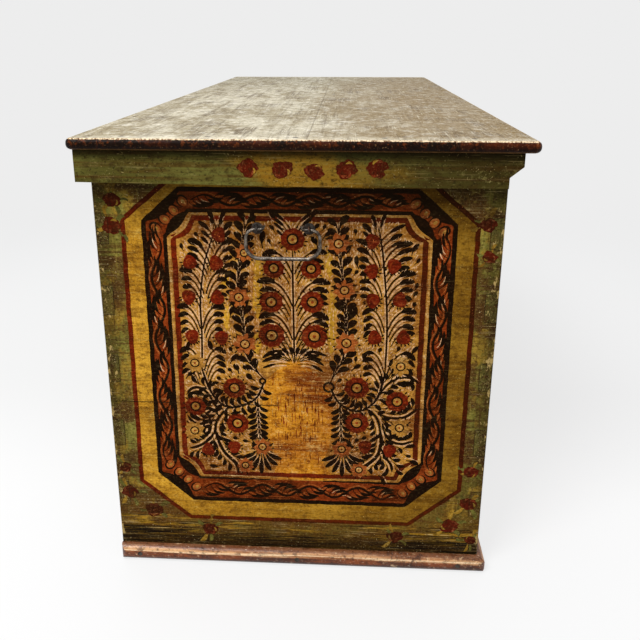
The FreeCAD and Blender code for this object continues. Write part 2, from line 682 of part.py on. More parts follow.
def make_bottom(bottom_nails, moulding_nails):
    """Planks along the chest under its walls, and the mitred bead that hides their edges."""
    count = int(sheet.get("bottom_planks"))
    names = ("front", "middle", "rear")
    for number in range(count):
        name = f"bottom_plank_{names[number] if count == len(names) else number + 1}"
        blank = box(f"{name}_blank", "body_length", "body_depth / bottom_planks", "bottom_thickness",
                    ("-(half_length)", f"{number} * body_depth / bottom_planks - half_depth", "0"))
        subpart(name, cut(name, blank, bottom_nails, moulding_nails))

    strips = [("front", "-(half_length)", "half_length", 1, 1, X,
               ("0", "-(half_depth) - moulding_projection", "0")),
              ("left", "-(half_depth)", "half_depth", 0, 1, -Y,
               ("-(half_length) - moulding_projection", "0", "0")),
              ("right", "-(half_depth)", "half_depth", 1, 0, Y,
               ("half_length + moulding_projection", "0", "0"))]
    plan = box_body("moulding_plan", "body_length + 2 * moulding_projection",
                    "body_depth + moulding_projection", "moulding_height + 2 * overrun",
                    ("-(half_length) - moulding_projection", "-(half_depth) - moulding_projection",
                     "-overrun"))
    round_edges(plan, "moulding_corners", "moulding_corner_round", upright)
    for side, start, end, start_mitre, end_mitre, along, at in strips:
        name = f"base_moulding_{side}"
        body = doc.addObject("PartDesign::Body", f"{name}_strip")
        strip = body.newObject("PartDesign::AdditiveWedge", f"{name}_wedge")
        bind(strip, Xmin=f"{start} - {start_mitre} * moulding_projection",
             Xmax=f"{end} + {end_mitre} * moulding_projection", X2min=start, X2max=end,
             Ymin="0", Ymax="moulding_projection", Zmin="0", Z2min="0",
             Zmax="moulding_height", Z2max="moulding_height")
        place(body, at, along)
        doc.recompute()
        middle = sheet.get("moulding_height") / 2
        for level, radius, high in (("top", "moulding_top_round", True),
                                    ("foot", "moulding_foot_round", False)):
            round_edges(body, f"{name}_{level}", radius,
                        lambda edge: edge.BoundBox.XLength > edge.BoundBox.DiagonalLength * 0.9
                        and edge.BoundBox.YMax < sheet.get("moulding_projection") / 2
                        and (edge.BoundBox.ZMin > middle) == high
                        and edge.BoundBox.ZLength < middle)
        subpart(name, cut(name, common(f"{name}_plain", body, plan), moulding_nails))


def make_cleats():
    """Tapered bars nailed under the lid outside the end boards, their front noses cut back."""
    nails = group("cleat_nails", [
        nail_row(f"{side}_cleat_nail_row", "cleat_nail_length",
                 (f"{sign}(cleat_x)", "half_depth - cleat_nail_inset", "lid_under + lid_thickness"),
                 -Y, -Z, "body_depth - 2 * cleat_nail_inset", "cleat_nail_count")
        for side, sign in (("left", "-"), ("right", ""))])
    subpart("cleat_nails", nails)
    back = "half_depth + cleat_overhang"
    front = "-(half_depth) - cleat_overhang"
    corners = [(back, "0"), (back, "-cleat_back_height"), ("0", "-cleat_front_height"),
               ("cleat_toe_setback - half_depth", "-cleat_front_height"),
               ("cleat_toe_setback - half_depth", "-cleat_nose_drop - cleat_nose_slope"),
               (front, "-cleat_nose_drop"), (front, "0")]
    for side, sign in (("left", "-"), ("right", "")):
        body = doc.addObject("PartDesign::Body", f"{side}_cleat_bar")
        sketch = body.newObject("Sketcher::SketchObject", f"{side}_cleat_outline")
        sketch.AttachmentSupport = (next(f for f in body.Origin.OriginFeatures
                                         if f.Role == "YZ_Plane"), [""])
        sketch.MapMode = "FlatFace"
        outline(sketch, corners)
        pad = body.newObject("PartDesign::Pad", f"{side}_cleat_pad")
        pad.Profile = sketch
        bind(pad, Length="cleat_thickness")
        place(body, (f"{sign}(cleat_x) - cleat_thickness / 2", "0", "lid_under"))
        name = f"lid_cleat_{side}"
        subpart(name, cut(name, body, nails))
    return nails


def outline(sketch, corners):
    """A closed run of lines through the corners, each held at two sums from the origin."""
    count = len(corners)
    values = []
    probe = doc.addObject("App::FeaturePython", "Probe")
    for name in ("Across", "Up"):
        probe.addProperty("App::PropertyFloat", name)
    for across, up in corners:
        bind(probe, Across=across, Up=up)
        probe.recompute()
        values.append(FreeCAD.Vector(probe.Across, probe.Up, 0))
    doc.removeObject(probe.Name)
    for number in range(count):
        sketch.addGeometry(Part.LineSegment(values[number], values[(number + 1) % count]))
    for number in range(count):
        sketch.addConstraint(Sketcher.Constraint("Coincident", number, 2, (number + 1) % count, 1))
    for number, corner in enumerate(corners):
        for kind, value, text in zip(("DistanceX", "DistanceY"), values[number], corner):
            index = sketch.addConstraint(Sketcher.Constraint(kind, -1, 1, number, 1, value))
            sketch.setExpression(f"Constraints[{index}]", bound(text))


def make_lid(hinges, catch_nails, cleat_nails):
    """Two planks with one rounded edge run all round."""
    slab = box_body("lid_slab", "lid_length", "lid_width", "lid_thickness",
                    ("-(lid_length) / 2", "-(half_depth) - lid_front_overhang", "lid_under"))
    round_edges(slab, "lid_corners", "lid_corner_round", upright)
    round_edges(slab, "lid_edges", "lid_edge_round", lambda edge: not upright(edge))
    front_y = "-(half_depth) - lid_front_overhang"
    seam = f"{front_y} + lid_front_plank_width"
    for name, start, width in (
            ("lid_plank_front", f"{front_y} - overrun", "lid_front_plank_width + overrun"),
            ("lid_plank_rear", seam, "lid_width - lid_front_plank_width + overrun")):
        strip = box(f"{name}_strip", "lid_length + 2 * overrun", width, "lid_thickness + 2 * overrun",
                    ("-(lid_length) / 2 - overrun", start, "lid_under - overrun"))
        plank = common(f"{name}_plain", slab, strip)
        subpart(name, cut(name, plank, hinges["strap_nails"], catch_nails, cleat_nails))


def write_parts():
    """Check every object and write each sub-part to a file of its own."""
    doc.recompute()
    failed = [thing.Name for thing in doc.Objects if {"Invalid", "Error"} & set(thing.State)]
    if failed:
        raise RuntimeError(f"not made: {', '.join(failed)}")
    os.makedirs("parts", exist_ok=True)
    for thing in PARTS:
        shape = thing.Shape
        if shape.isNull() or not shape.isValid() or not shape.Solids:
            raise RuntimeError(f"no sound solid in {thing.Label}")
        shape.exportStep(f"parts/{thing.Label}.step")
        print(f"{thing.Label}: {len(shape.Solids)} solids, {shape.Volume / 1000:.1f} cm3")


write_sheet()
hinges = make_hinges()
handles = make_handles()
lock = make_lock()
catch_nails = make_catch()
till = make_till()
bottom_nails, moulding_nails = make_base_nails()
make_walls(hinges, handles, lock, till, bottom_nails)
make_bottom(bottom_nails, moulding_nails)
cleat_nails = make_cleats()
make_lid(hinges, catch_nails, cleat_nails)
write_parts()
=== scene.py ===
import bpy
import math
import random
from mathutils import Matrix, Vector, geometry


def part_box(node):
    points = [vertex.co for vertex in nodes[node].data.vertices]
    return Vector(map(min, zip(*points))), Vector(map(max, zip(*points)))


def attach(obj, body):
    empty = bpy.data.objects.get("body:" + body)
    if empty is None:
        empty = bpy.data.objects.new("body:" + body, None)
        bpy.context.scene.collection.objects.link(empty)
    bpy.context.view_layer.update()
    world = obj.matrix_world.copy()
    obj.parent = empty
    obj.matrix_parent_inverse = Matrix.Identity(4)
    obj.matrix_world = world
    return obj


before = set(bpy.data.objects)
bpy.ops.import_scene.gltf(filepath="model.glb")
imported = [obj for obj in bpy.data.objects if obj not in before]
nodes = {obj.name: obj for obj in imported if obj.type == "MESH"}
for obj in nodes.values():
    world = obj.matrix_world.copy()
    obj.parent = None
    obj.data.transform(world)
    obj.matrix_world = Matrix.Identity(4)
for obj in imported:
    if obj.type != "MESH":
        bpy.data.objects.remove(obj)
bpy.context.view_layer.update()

# Walls: pine boards, two planks high, dovetailed at the corners. Outside they have a brushed coat
# of olive oil paint over ochre, gone brown and rubbed through at the corners. Inside they are bare.
low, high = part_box("left_end_plank_lower")
HALF_LENGTH = -low.x
HALF_DEPTH = high.y
WALL = high.x - low.x
WALL_FOOT = low.z
WALL_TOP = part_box("left_end_plank_upper")[1].z
SCUFF_START, SCUFF_FULL = WALL_FOOT + 0.19, WALL_FOOT + 0.09        # ochre bared by feet and brooms
FOOT_SHADE_START, FOOT_SHADE_FULL = WALL_FOOT + 0.045, WALL_FOOT + 0.01         # painted shade in the crease over the base moulding
SHADE_START, SHADE_FULL = WALL_TOP - 0.08, WALL_TOP - 0.05          # painted shade under the lid
MM = 0.001
ALONG_X = (0.0, 0.0, 0.0)
ALONG_Y = (0.0, 0.0, math.radians(-90))


def linear(colour):
    """An sRGB hex colour as linear RGBA. An output that gives a colour stays as it is."""
    if not isinstance(colour, str):
        return colour
    shares = [int(colour[i:i + 2], 16) / 255 for i in (1, 3, 5)]
    return [s / 12.92 if s <= 0.04045 else ((s + 0.055) / 1.055) ** 2.4 for s in shares] + [1]


def add(tree, kind, inputs=(), **settings):
    """A node with its settings. An input is a value, an output, or a node for its first output."""
    made = tree.nodes.new(kind if kind.startswith("NodeGroup") else f"ShaderNode{kind}")
    for name, value in settings.items():
        setattr(made, name, value)
    for socket, value in dict(inputs).items():
        if isinstance(value, bpy.types.Node):
            value = value.outputs[0]
        if isinstance(value, bpy.types.NodeSocket):
            tree.links.new(value, made.inputs[socket])
        else:
            made.inputs[socket].default_value = value
    return made


def where(tree, *spans, most=1.0):
    """How far every mask has passed from its start to its end, all together, up to most."""
    for mask, start, end in spans:
        most = add(tree, "MapRange", {0: mask, 1: start, 2: end, 4: most}, interpolation_type="SMOOTHSTEP")
    return most


def lay(tree, under, colour, mask, start=0.0, end=1.0, most=1.0):
    """A colour laid over another where the mask passes start, in full strength, most, from end on."""
    share = where(tree, (mask, start, end), most=most)
    return add(tree, "Mix", {0: share, 6: linear(under), 7: linear(colour)}, data_type="RGBA").outputs[2]


def layers(tree, here, under, *rows):
    """Colours laid one over another. A row is a colour, its mask, start, end and most, and a mask is
    an output or the name of one in here."""
    for colour, mask, *span in rows:
        under = lay(tree, under, colour, here[mask] if isinstance(mask, str) else mask, *span)
    return under


def total(tree, *parts):
    """The sum of outputs, each times its share."""
    so_far = 0.0
    for output, share in parts:
        so_far = add(tree, "Math", {0: output, 1: share, 2: so_far}, operation="MULTIPLY_ADD")
    return so_far


def apart(tree, output, middle=0.0):
    """How far an output is from a middle value, to either side."""
    off = add(tree, "Math", {0: output, 1: middle}, operation="SUBTRACT")
    return add(tree, "Math", {0: off}, operation="ABSOLUTE")


def mottle(tree, place, size, detail=3.0, roughness=0.55, distortion=0.0):
    """Cloudy marks from 0 to 1, each of the given size in millimetres along X, Y and Z."""
    spread = add(tree, "VectorMath", {0: place, 1: [1 / (MM * s) for s in size]}, operation="MULTIPLY")
    return add(tree, "TexNoise", {"Vector": spread, "Scale": 1.0, "Detail": detail,
                                  "Roughness": roughness, "Distortion": distortion})


def make_wear():
    """Wear shared by every coat, worked out from the place with the board's grain along X. Cracks
    part the paint into plates of about 17 by 11 mm."""
    tree = bpy.data.node_groups.new("paint_wear", "ShaderNodeTree")
    tree.interface.new_socket("Place", in_out="INPUT", socket_type="NodeSocketVector")
    place = add(tree, "NodeGroupInput")
    patch = mottle(tree, place, (90, 56, 56), 5.0, 0.6)
    streak = mottle(tree, place, (200, 6, 6), 4.0, 0.65, 0.4)
    grit = mottle(tree, place, (4, 2.6, 2.6), 4.0, 0.7)
    worn = total(tree, (patch, 0.58), (streak, 0.34), (grit, 0.08))
    rub = where(tree, (worn, 0.50, 0.64))
    threads = [mottle(tree, place, size, 3.0, 0.6) for size in ((1.7, 1.7, 16), (15, 1.7, 1.7))]
    net = add(tree, "Math", {0: threads[0], 1: threads[1]}, operation="MAXIMUM")
    scratch = mottle(tree, place, (62, 1.3, 1.3), 2.0)
    fleck = where(tree, (mottle(tree, place, (2.6, 2.2, 2.2), 2.0), 0.66, 0.72), (worn, 0.44, 0.58))
    spread = add(tree, "VectorMath", {0: place, 1: (60, 95, 95)}, operation="MULTIPLY")
    warp = add(tree, "TexNoise", {"Vector": spread, "Scale": 2.6, "Detail": 3.0}).outputs[1]
    bent = add(tree, "VectorMath", {0: warp, 1: (1.7, 1.7, 1.7), 2: spread}, operation="MULTIPLY_ADD")
    plates = add(tree, "TexVoronoi", {"Vector": bent, "Scale": 1.0}, feature="DISTANCE_TO_EDGE")
    crack = where(tree, (plates, 0.05, 0.0), (worn, 0.46, 0.60))
    made = {"Patch": patch, "Streak": streak, "Grit": grit, "Rub": rub, "Fleck": fleck, "Crack": crack,
            "Blot": mottle(tree, place, (13, 8, 8), 5.0, 0.66),
            "Net": where(tree, (net, 0.52, 0.66)),
            "Scratch": where(tree, (scratch, 0.60, 0.70), (patch, 0.38, 0.60)),
            "Height": total(tree, (streak, 1.0), (grit, 0.6), (fleck, -0.5), (crack, -0.5), (rub, -0.35))}
    for name in made:
        tree.interface.new_socket(name, in_out="OUTPUT", socket_type="NodeSocketFloat")
    add(tree, "NodeGroupOutput", made)
    return tree


paint_wear = make_wear()


def empty_tree(owner):
    """The node tree of a material or a world, cleared."""
    owner.use_nodes = True
    owner.node_tree.nodes.clear()
    return owner.node_tree


def start_material(name, grain=ALONG_X):
    """A new material with its tree, and the outputs that its layers go by: the place on the object
    and its X, Y and Z, how far the surface faces up, and the shared wear along the grain."""
    material = bpy.data.materials.new(name)
    tree = empty_tree(material)
    given = add(tree, "TexCoord").outputs
    turned = add(tree, "VectorRotate", {"Vector": given["Object"], "Rotation": grain},
                 rotation_type="EULER_XYZ")
    here = dict(add(tree, "Group", {0: turned}, node_tree=paint_wear).outputs.items())
    here.update(zip("XYZ", add(tree, "SeparateXYZ", {0: given["Object"]}).outputs))
    here["Place"] = given["Object"]
    here["Up"] = add(tree, "SeparateXYZ", {0: given["Normal"]}).outputs[2]
    return material, tree, here


def finish_material(tree, colour, roughness, height, depth, metallic=0.0, level=0.5):
    """Surface of one colour, roughness and relief. The depth is the relief's height in metres."""
    bump = add(tree, "Bump", {"Strength": 1.0, "Distance": depth, "Height": height})
    shader = add(tree, "BsdfPrincipled", {
        "Base Color": colour, "Roughness": roughness, "Metallic": metallic, "Specular IOR Level": level,
        "Normal": bump})
    add(tree, "OutputMaterial", {0: shader})


def board_paint(name, grain, fresh, aged, patchy):
    """Olive oil paint on a wall board: brown at the corners and the foot, bare wood inside and on
    the rim, and darkened as painted shade in the crease over the moulding and under the lid.
    Patchy is how much ochre and brown show through in it."""
    edge = "#241507"
    wood = "#4a2e13"
    material, tree, here = start_material(name, grain)
    place = here["Place"]
    inward = [add(tree, "Math", {0: half, 1: apart(tree, here[way])}, operation="SUBTRACT")
              for way, half in (("X", HALF_LENGTH), ("Y", HALF_DEPTH))]
    from_face, from_corner = (add(tree, "Math", enumerate(inward), operation=how)
                              for how in ("MINIMUM", "MAXIMUM"))
    cloud = mottle(tree, place, (64, 64, 105), 6.0, 0.66)
    brushed = mottle(tree, place, (5, 5, 60), 4.0, 0.66)
    ragged_corner = total(tree, (cloud, 0.055), (from_corner, 1.0))
    rise = total(tree, (here["Streak"], 0.12), (here["Z"], 1.0))
    low_down = add(tree, "MapRange", {0: rise, 1: SCUFF_START, 2: SCUFF_FULL})
    knocked = add(tree, "MapRange", {0: from_corner, 1: 0.03, 2: 0.12, 3: 1.0, 4: 0.84})
    kicked = add(tree, "Math", {0: low_down, 1: knocked}, operation="MULTIPLY")
    bared, flaked, scratched, checks = (
        add(tree, "Math", {0: mottle(tree, place, *kind), 1: kicked}, operation="MULTIPLY") for kind in (
            ((90, 90, 7), 5.0, 0.66), ((34, 34, 6), 5.0, 0.68), ((60, 60, 1.6), 2.0, 0.5),
            ((95, 95, 1.7), 2.0, 0.5)))
    chipped = total(tree, (mottle(tree, place, (9, 9, 16), 5.0, 0.68), 1.0), (from_corner, -6.0))
    # Painted shade: the dark bands in the crease over the base moulding and under the lid.
    colour = layers(
        tree, here, fresh, (aged, cloud, 0.44, 0.56),
        ("#967426", mottle(tree, place, (40, 40, 62), 6.0, 0.68), 0.48, 0.59, patchy),
        (wood, "Patch", 0.50, 0.58, patchy), (wood, "Streak", 0.52, 0.64, 0.8),
        (wood, brushed, 0.47, 0.36, 0.6), ("#9c8a40", brushed, 0.55, 0.68, 0.4),
        (wood, "Rub", 0.0, 1.0, 0.5), (wood, "Blot", 0.52, 0.64, 0.6), ("#a08c40", "Blot", 0.44, 0.30, 0.4),
        (edge, ragged_corner, 0.056, 0.032, 0.65), ("#5a3a10", low_down, 0.1, 0.9, 0.7),
        ("#a57b20", bared, 0.42, 0.52, 0.85), ("#1d1004", flaked, 0.47, 0.55, 0.85),
        ("#cfb27a", scratched, 0.56, 0.62, 0.6), (edge, "Z", FOOT_SHADE_START, FOOT_SHADE_FULL, 0.9),
        ("#140b03", "Z", SHADE_START, SHADE_FULL, 0.7), ("#120b04", "Grit", 0.50, 0.34, 0.7),
        ("#b9a468", "Grit", 0.56, 0.70, 0.35), ("#c9b27a", "Scratch", 0.0, 1.0, 0.4),
        ("#0f0904", checks, 0.44, 0.54, 0.9), ("#a98f58", chipped, 0.54, 0.60, 0.8),
        ("#d3bf8c", "Fleck", 0.0, 1.0, 0.8), ("#140d06", "Crack", 0.0, 1.0, 0.5))
    bare = layers(tree, here, "#9c7344", ("#6f4a26", "Streak", 0.2, 0.8),
                  ("#4d331c", "Rub", 0.0, 1.0, 0.35))
    rim = lay(tree, bare, "#3a2814", here["Streak"], 0.4, 0.6, 0.6)
    inside = add(tree, "Math", {0: from_face, 1: WALL - 0.6 * MM}, operation="GREATER_THAN")
    colour = layers(tree, here, colour, (rim, "Up", 0.6, 0.8), (bare, inside))
    rough = add(tree, "MapRange", {0: inside, 3: 0.46, 4: 0.78})
    finish_material(tree, colour, rough, here["Height"], 0.0005, level=0.02)
    return material


def coat(names, material):
    """Give carried-over pieces their finish."""
    for name in names:
        nodes[name].data.materials.clear()
        nodes[name].data.materials.append(material)


end_board_paint = board_paint("olive_oil_paint_on_end_boards", ALONG_Y, "#726b2c", "#5a4e1d", 0.8)
side_board_paint = board_paint("olive_oil_paint_on_long_boards", ALONG_X, "#68632f", "#544c20", 0.25)
for wall, material in (("left_end", end_board_paint), ("right_end", end_board_paint),
                       ("front", side_board_paint), ("back", side_board_paint)):
    coat([f"{wall}_plank_lower", f"{wall}_plank_upper"], material)


# Bottom: three sawn pine planks nailed up under the walls, never painted, grey-brown with age.
# Their ends and front edges are hidden by the base moulding.
def bare_wood(name, light, dark, grain, depth=0.0006):
    """Bare pine: darker late wood in streaks along the board, and dirt rubbed into it."""
    material, tree, here = start_material(name, grain)
    colour = layers(tree, here, light, (dark, "Streak", 0.25, 0.75), ("#4a3520", "Rub", 0.0, 1.0, 0.45),
                    ("#3a2815", "Grit", 0.45, 0.25, 0.5))
    finish_material(tree, colour, 0.8, here["Height"], depth, level=0.25)
    return material


coat(["bottom_plank_front", "bottom_plank_middle", "bottom_plank_rear"],
     bare_wood("sawn_pine_bottom", "#8d6a42", "#5f4327", ALONG_X))


# Base moulding: planed pine strips, mitred at the front corners and nailed through. The red-brown
# paint is polished by feet and brooms, so its round is rubbed to a pinkish wood. A painted highlight
# runs along the round, and its underside is darkened as painted shade.
def moulding_finish(name, grain):
    """Red-brown oil paint on a bead, rubbed pale round its upper half, partly worn pinkish wood and
    partly painted highlight, with a painted highlight band along the round, painted shade underneath
    and dirt on top.
    """
    material, tree, here = start_material(name, grain)
    rubbed = lay(tree, "#d9a674", "#9c6034", here["Streak"], 0.40, 0.60)
    ragged = total(tree, (here["Patch"], 0.9), (here["Up"], 1.0))
    sheen_band_mask = apart(tree, total(tree, (here["Up"], 1.0), (here["Streak"], -0.8)))
    # Painted light: the pale upper round and the bright band along it are painted highlight, the dark
    # underside painted shade.
    colour = layers(
        tree, here, "#824019", ("#552710", "Patch", 0.40, 0.58), ("#2f1507", "Streak", 0.48, 0.70, 0.8),
        (rubbed, ragged, 0.50, 0.85, 0.9), ("#6a3a20", ragged, 1.05, 1.30, 0.85),
        ("#f4d6ac", sheen_band_mask, 0.12, 0.02, 0.75), ("#2c1507", "Up", 0.05, -0.7, 0.9),
        ("#43200c", "Blot", 0.52, 0.64, 0.7), ("#edc99c", "Blot", 0.42, 0.30, 0.5),
        ("#1f0f04", "Grit", 0.47, 0.32, 0.7), ("#efd6ba", "Grit", 0.60, 0.72, 0.5),
        ("#efdcc2", "Fleck", 0.0, 1.0, 0.6), ("#140803", "Crack", 0.0, 1.0, 0.8))
    finish_material(tree, colour, 0.3, here["Height"], 0.0005, level=0.3)
    return material


coat(["base_moulding_front"], moulding_finish("red_brown_paint_on_long_moulding", ALONG_X))
coat(["base_moulding_left", "base_moulding_right"],
     moulding_finish("red_brown_paint_on_end_moulding", ALONG_Y))

# Lid: two planed pine boards with one rounded edge run all round. The thin olive paint on top has
# gone dusty and mottled. It is browner towards the front as painted shade and palest near its ends
# as a painted highlight. The edge has a painted highlight on its arris and painted shade below it,
# and the underside is bare wood darkened as painted shade.
LID_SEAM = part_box("lid_plank_front")[1].y
lid_paint, tree, here = start_material("dusty_olive_paint_on_lid", ALONG_X)
cloud = mottle(tree, here["Place"], (260, 110, 110), 5.0, 0.62)
stain = mottle(tree, here["Place"], (90, 60, 60), 6.0, 0.70)
blotch = mottle(tree, here["Place"], (22, 20, 20), 6.0, 0.72)
speck = mottle(tree, here["Place"], (4, 4, 4), 4.0, 0.75)
front_shade_mask = total(tree, (cloud, -0.26), (here["Y"], 1.0))
from_middle = apart(tree, here["X"])
from_seam = apart(tree, here["Y"], LID_SEAM)
# Painted highlight on the arris, and painted shade on the edge's lower round and on the underside.
arris = lay(tree, "#e0c9a4", "#7b5835", here["Grit"], 0.54, 0.44)
edge = layers(tree, here, "#3a1504", ("#120500", "Patch", 0.40, 0.56),
              ("#6e3412", "Streak", 0.52, 0.66, 0.7), ("#0c0300", "Up", 0.35, -0.25, 0.85),
              ("#c99a68", "Grit", 0.60, 0.70, 0.3))
ragged = total(tree, (here["Grit"], 0.3), (here["Up"], 1.0))
under = lay(tree, "#5c3f20", "#3a2611", here["Streak"], 0.25, 0.75)
# Painted shade browner towards the front, and a painted highlight pale near both ends.
colour = layers(
    tree, here, "#b4ab93", ("#8e8162", cloud, 0.42, 0.58), ("#6b4f12", front_shade_mask, -0.06, -0.34, 0.55),
    ("#6b6448", "X", -0.2, 0.75, 0.48), ("#59471a", "Streak", 0.50, 0.66, 0.5),
    ("#5d4a20", stain, 0.52, 0.64, 0.6), ("#574624", blotch, 0.51, 0.66, 0.5),
    ("#e2dbc8", blotch, 0.48, 0.34, 0.6), ("#6f5418", front_shade_mask, -0.10, -0.36, 0.6),
    ("#e9dfc6", from_middle, HALF_LENGTH - 0.01, HALF_LENGTH + 0.035, 0.36),
    ("#4a3410", "Rub", 0.0, 1.0, 0.5), ("#33240f", speck, 0.49, 0.34, 0.6),
    ("#ece6d4", speck, 0.55, 0.70, 0.6), ("#ded6bd", "Scratch", 0.0, 1.0, 0.6),
    ("#e9e2cd", "Fleck", 0.0, 1.0, 0.8), ("#4a3a1c", from_seam, 1.4 * MM, 0.2 * MM, 0.6),
    (arris, "Up", 0.995, 0.95), (edge, ragged, 1.02, 0.88), (under, "Up", -0.6, -0.9))
rough = add(tree, "MapRange", {0: blotch, 1: 0.35, 2: 0.65, 3: 0.28, 4: 0.5})
finish_material(tree, colour, rough, here["Height"], 0.0006, level=0.06)
coat(["lid_plank_front", "lid_plank_rear"], lid_paint)

# Cleats: tapered pine bars nailed under the lid's ends, which keep its boards flat and lap the
# carcass. Their olive paint has a streak of golden ochre along the middle, under a row of roses.
CLEAT_FOOT, CLEAT_TOP = (corner.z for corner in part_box("lid_cleat_left"))
cleat_paint, tree, here = start_material("olive_paint_on_cleats", ALONG_Y)
GLOW_Y = -0.02
GLOW_Z = (CLEAT_FOOT + CLEAT_TOP) / 2 - 0.003
from_glow = total(tree, (apart(tree, here["Y"], GLOW_Y), 1.0), (apart(tree, here["Z"], GLOW_Z), 1.8),
                  (here["Patch"], -0.3))
# The dark band along the cleat's top, under the lid's overhang, is painted shade.
colour = layers(
    tree, here, "#5d5a28", ("#4b461c", "Patch", 0.38, 0.58), ("#48310f", "Streak", 0.44, 0.64, 0.75),
    ("#9c6c16", from_glow, -0.01, -0.10, 0.5), ("#241505", "Y", 0.04, -HALF_DEPTH, 0.65),
    ("#33240c", "Blot", 0.52, 0.64, 0.6), ("#7d7340", "Blot", 0.43, 0.32, 0.4),
    ("#120a03", "Z", CLEAT_TOP - 0.016, CLEAT_TOP - 0.002, 0.85), ("#120b04", "Grit", 0.49, 0.34, 0.6),
    ("#a08c58", "Scratch", 0.0, 1.0, 0.25), ("#a8965f", "Fleck", 0.0, 1.0, 0.5))
finish_material(tree, colour, 0.5, here["Height"], 0.0004, level=0.02)
coat(["lid_cleat_left", "lid_cleat_right"], cleat_paint)

# Painted ends and front: each has an octagonal panel in mustard, bordered by a red-brown band with
# a wavy vine, and in it an urn of flowers on tall stems. A folk painter laid it in oil, in thick
# strokes over flat grounds, so each stroke here is a thin domed strip and each ground a flat one.
STEP = 2.6 * MM         # points along a stroke
CROWN = 0.16 * MM       # how far a stroke's middle stands over its edges
STALK = 0.2             # a leaf's stalk against its widest place
LEVELS = {"ground": 0.04, "band": 0.07, "field": 0.10, "urn": 0.13, "line": 0.16, "dab": 0.19,
          "light": 0.21, "vine": 0.25, "leaf": 0.28, "petal": 0.34, "ring": 0.46, "heart": 0.50,
          "crack": 0.62, "eye": 0.66}
CELL = 3 * MM           # grid in which the painter sees where there is room left
WAVES = 4               # of the vine, along each side of the band
VINE_LEAVES = (         # start and run in a bay, reach against the vine's own, and width in mm
    (-0.10, 0.70, 1.25, 4.2), (0.08, 0.72, 1.15, 4.8), (0.30, 0.66, 0.80, 5.4), (0.52, 0.56, 0.25, 5.0),
    (0.74, 0.46, -0.30, 4.0))
CORNER_ROOM = 30 * MM   # kept free of small leaves at the corners of the field
coats = {}              # strokes of the face in hand: paint to (points, faces)
touched = set()         # cells of that grid that strokes have reached
hand = random.Random(7)     # the painter's unsteady hand, the same each run


def even_path(points, step=STEP):
    """Points about a step apart on the smooth curve through the given ones."""
    ends = [points[0]] + list(points) + [points[-1]]
    path = []
    for a, b, c, d in zip(ends, ends[1:], ends[2:], ends[3:]):
        count = max(2, round(math.dist(b, c) / step))
        for i in range(count):
            t = i / count
            path.append([b[k] + 0.5 * t * (c[k] - a[k] + t * (2 * a[k] - 5 * b[k] + 4 * c[k] - d[k]
                         + t * (3 * (b[k] - c[k]) + d[k] - a[k]))) for k in (0, 1)])
    return path + [list(points[-1])]


def bow(start, pull, end, count):
    """A quadratic curve from start to end, drawn towards pull."""
    path = []
    for i in range(count):
        t = i / (count - 1)
        path.append([(1 - t) ** 2 * start[k] + 2 * t * (1 - t) * pull[k] + t * t * end[k] for k in (0, 1)])
    return path


def even(t):
    """Width of a line: full, with a short taper where the brush lands and lifts."""
    return min(1.0, 0.35 + 5 * t, 0.35 + 5 * (1 - t))


def blade(stalk):
    """Widths of a leaf whose thin stalk takes that share of the stroke, and whose end is round."""
    def width(t):
        if t < stalk:
            return STALK
        return STALK + (1 - STALK) * max(0.0, math.sin(math.pi * (t - stalk) / (1 - stalk))) ** 0.6
    return width


long_leaf = blade(0.57)
short_leaf = blade(0.34)


def lens(t):
    """Widths of a stroke that is pointed at both ends."""
    return max(0.04, math.sin(math.pi * t))


def mark(points):
    """Note the cells that some points have reached."""
    touched.update((round(u / CELL), round(v / CELL)) for u, v, _ in points)


def left_of(a, b):
    """The direction to the left of a run from a to b."""
    run, rise = b[0] - a[0], b[1] - a[1]
    size = math.hypot(run, rise) or 1.0
    return -rise / size, run / size


def brush(paint, path, width, swell, level, closed=False):
    """A stroke: a strip along the path, domed across."""
    points, faces = coats.setdefault(paint, ([], []))
    first = len(points)
    count = len(path)
    base = LEVELS[level] * MM
    crown = min(CROWN, width * 0.07)
    for i, (u, v) in enumerate(path):
        before = path[i - 1] if i or closed else path[0]
        after = path[(i + 1) % count] if i + 1 < count or closed else path[-1]
        half = width * (1.0 if closed else swell(i / (count - 1))) / 2
        du, dv = (way * half for way in left_of(before, after))
        points.extend([(u + du, v + dv, base), (u, v, base + crown), (u - du, v - dv, base)])
    mark(points[first:])
    for i in range(count if closed else count - 1):
        a = first + 3 * i
        b = first + 3 * ((i + 1) % count)
        faces.append((a, a + 1, b + 1, b))
        faces.append((a + 1, a + 2, b + 2, b + 1))


def blob(paint, u, v, radius, level, edge, count, tall=1.0, turn=0.0):
    """A dab of paint, its outline scalloped by edge and its middle a little raised."""
    points, faces = coats.setdefault(paint, ([], []))
    first = len(points)
    base = LEVELS[level] * MM
    points.append((u, v, base + CROWN))
    for share, lift in ((0.72, 0.8), (1.0, 0.0)):
        for i in range(count):
            angle = math.tau * i / count
            reach = radius * share * (1 if edge is None else edge(angle))
            du, dv = reach * math.cos(angle), reach * math.sin(angle) * tall
            points.append((u + du * math.cos(turn) - dv * math.sin(turn),
                           v + du * math.sin(turn) + dv * math.cos(turn), base + CROWN * lift))
    mark(points[first:])
    for i in range(count):
        after = (i + 1) % count
        inner, outer = first + 1 + i, first + 1 + count + i
        faces.append((first, inner, first + 1 + after))
        faces.append((inner, outer, first + 1 + count + after, first + 1 + after))


def ground(paint, outline, level):
    """A flat coat inside an outline that runs anticlockwise."""
    points, faces = coats.setdefault(paint, ([], []))
    first = len(points)
    points.extend((u, v, LEVELS[level] * MM) for u, v in outline)
    flat = [Vector((u, v, 0)) for u, v in outline]
    for triangle in geometry.tessellate_polygon([flat]):
        a, b, c = (flat[k] for k in triangle)
        turn = (b - a).cross(c - a).z
        ring = triangle if turn > 0 else triangle[::-1]
        faces.append(tuple(first + k for k in ring))


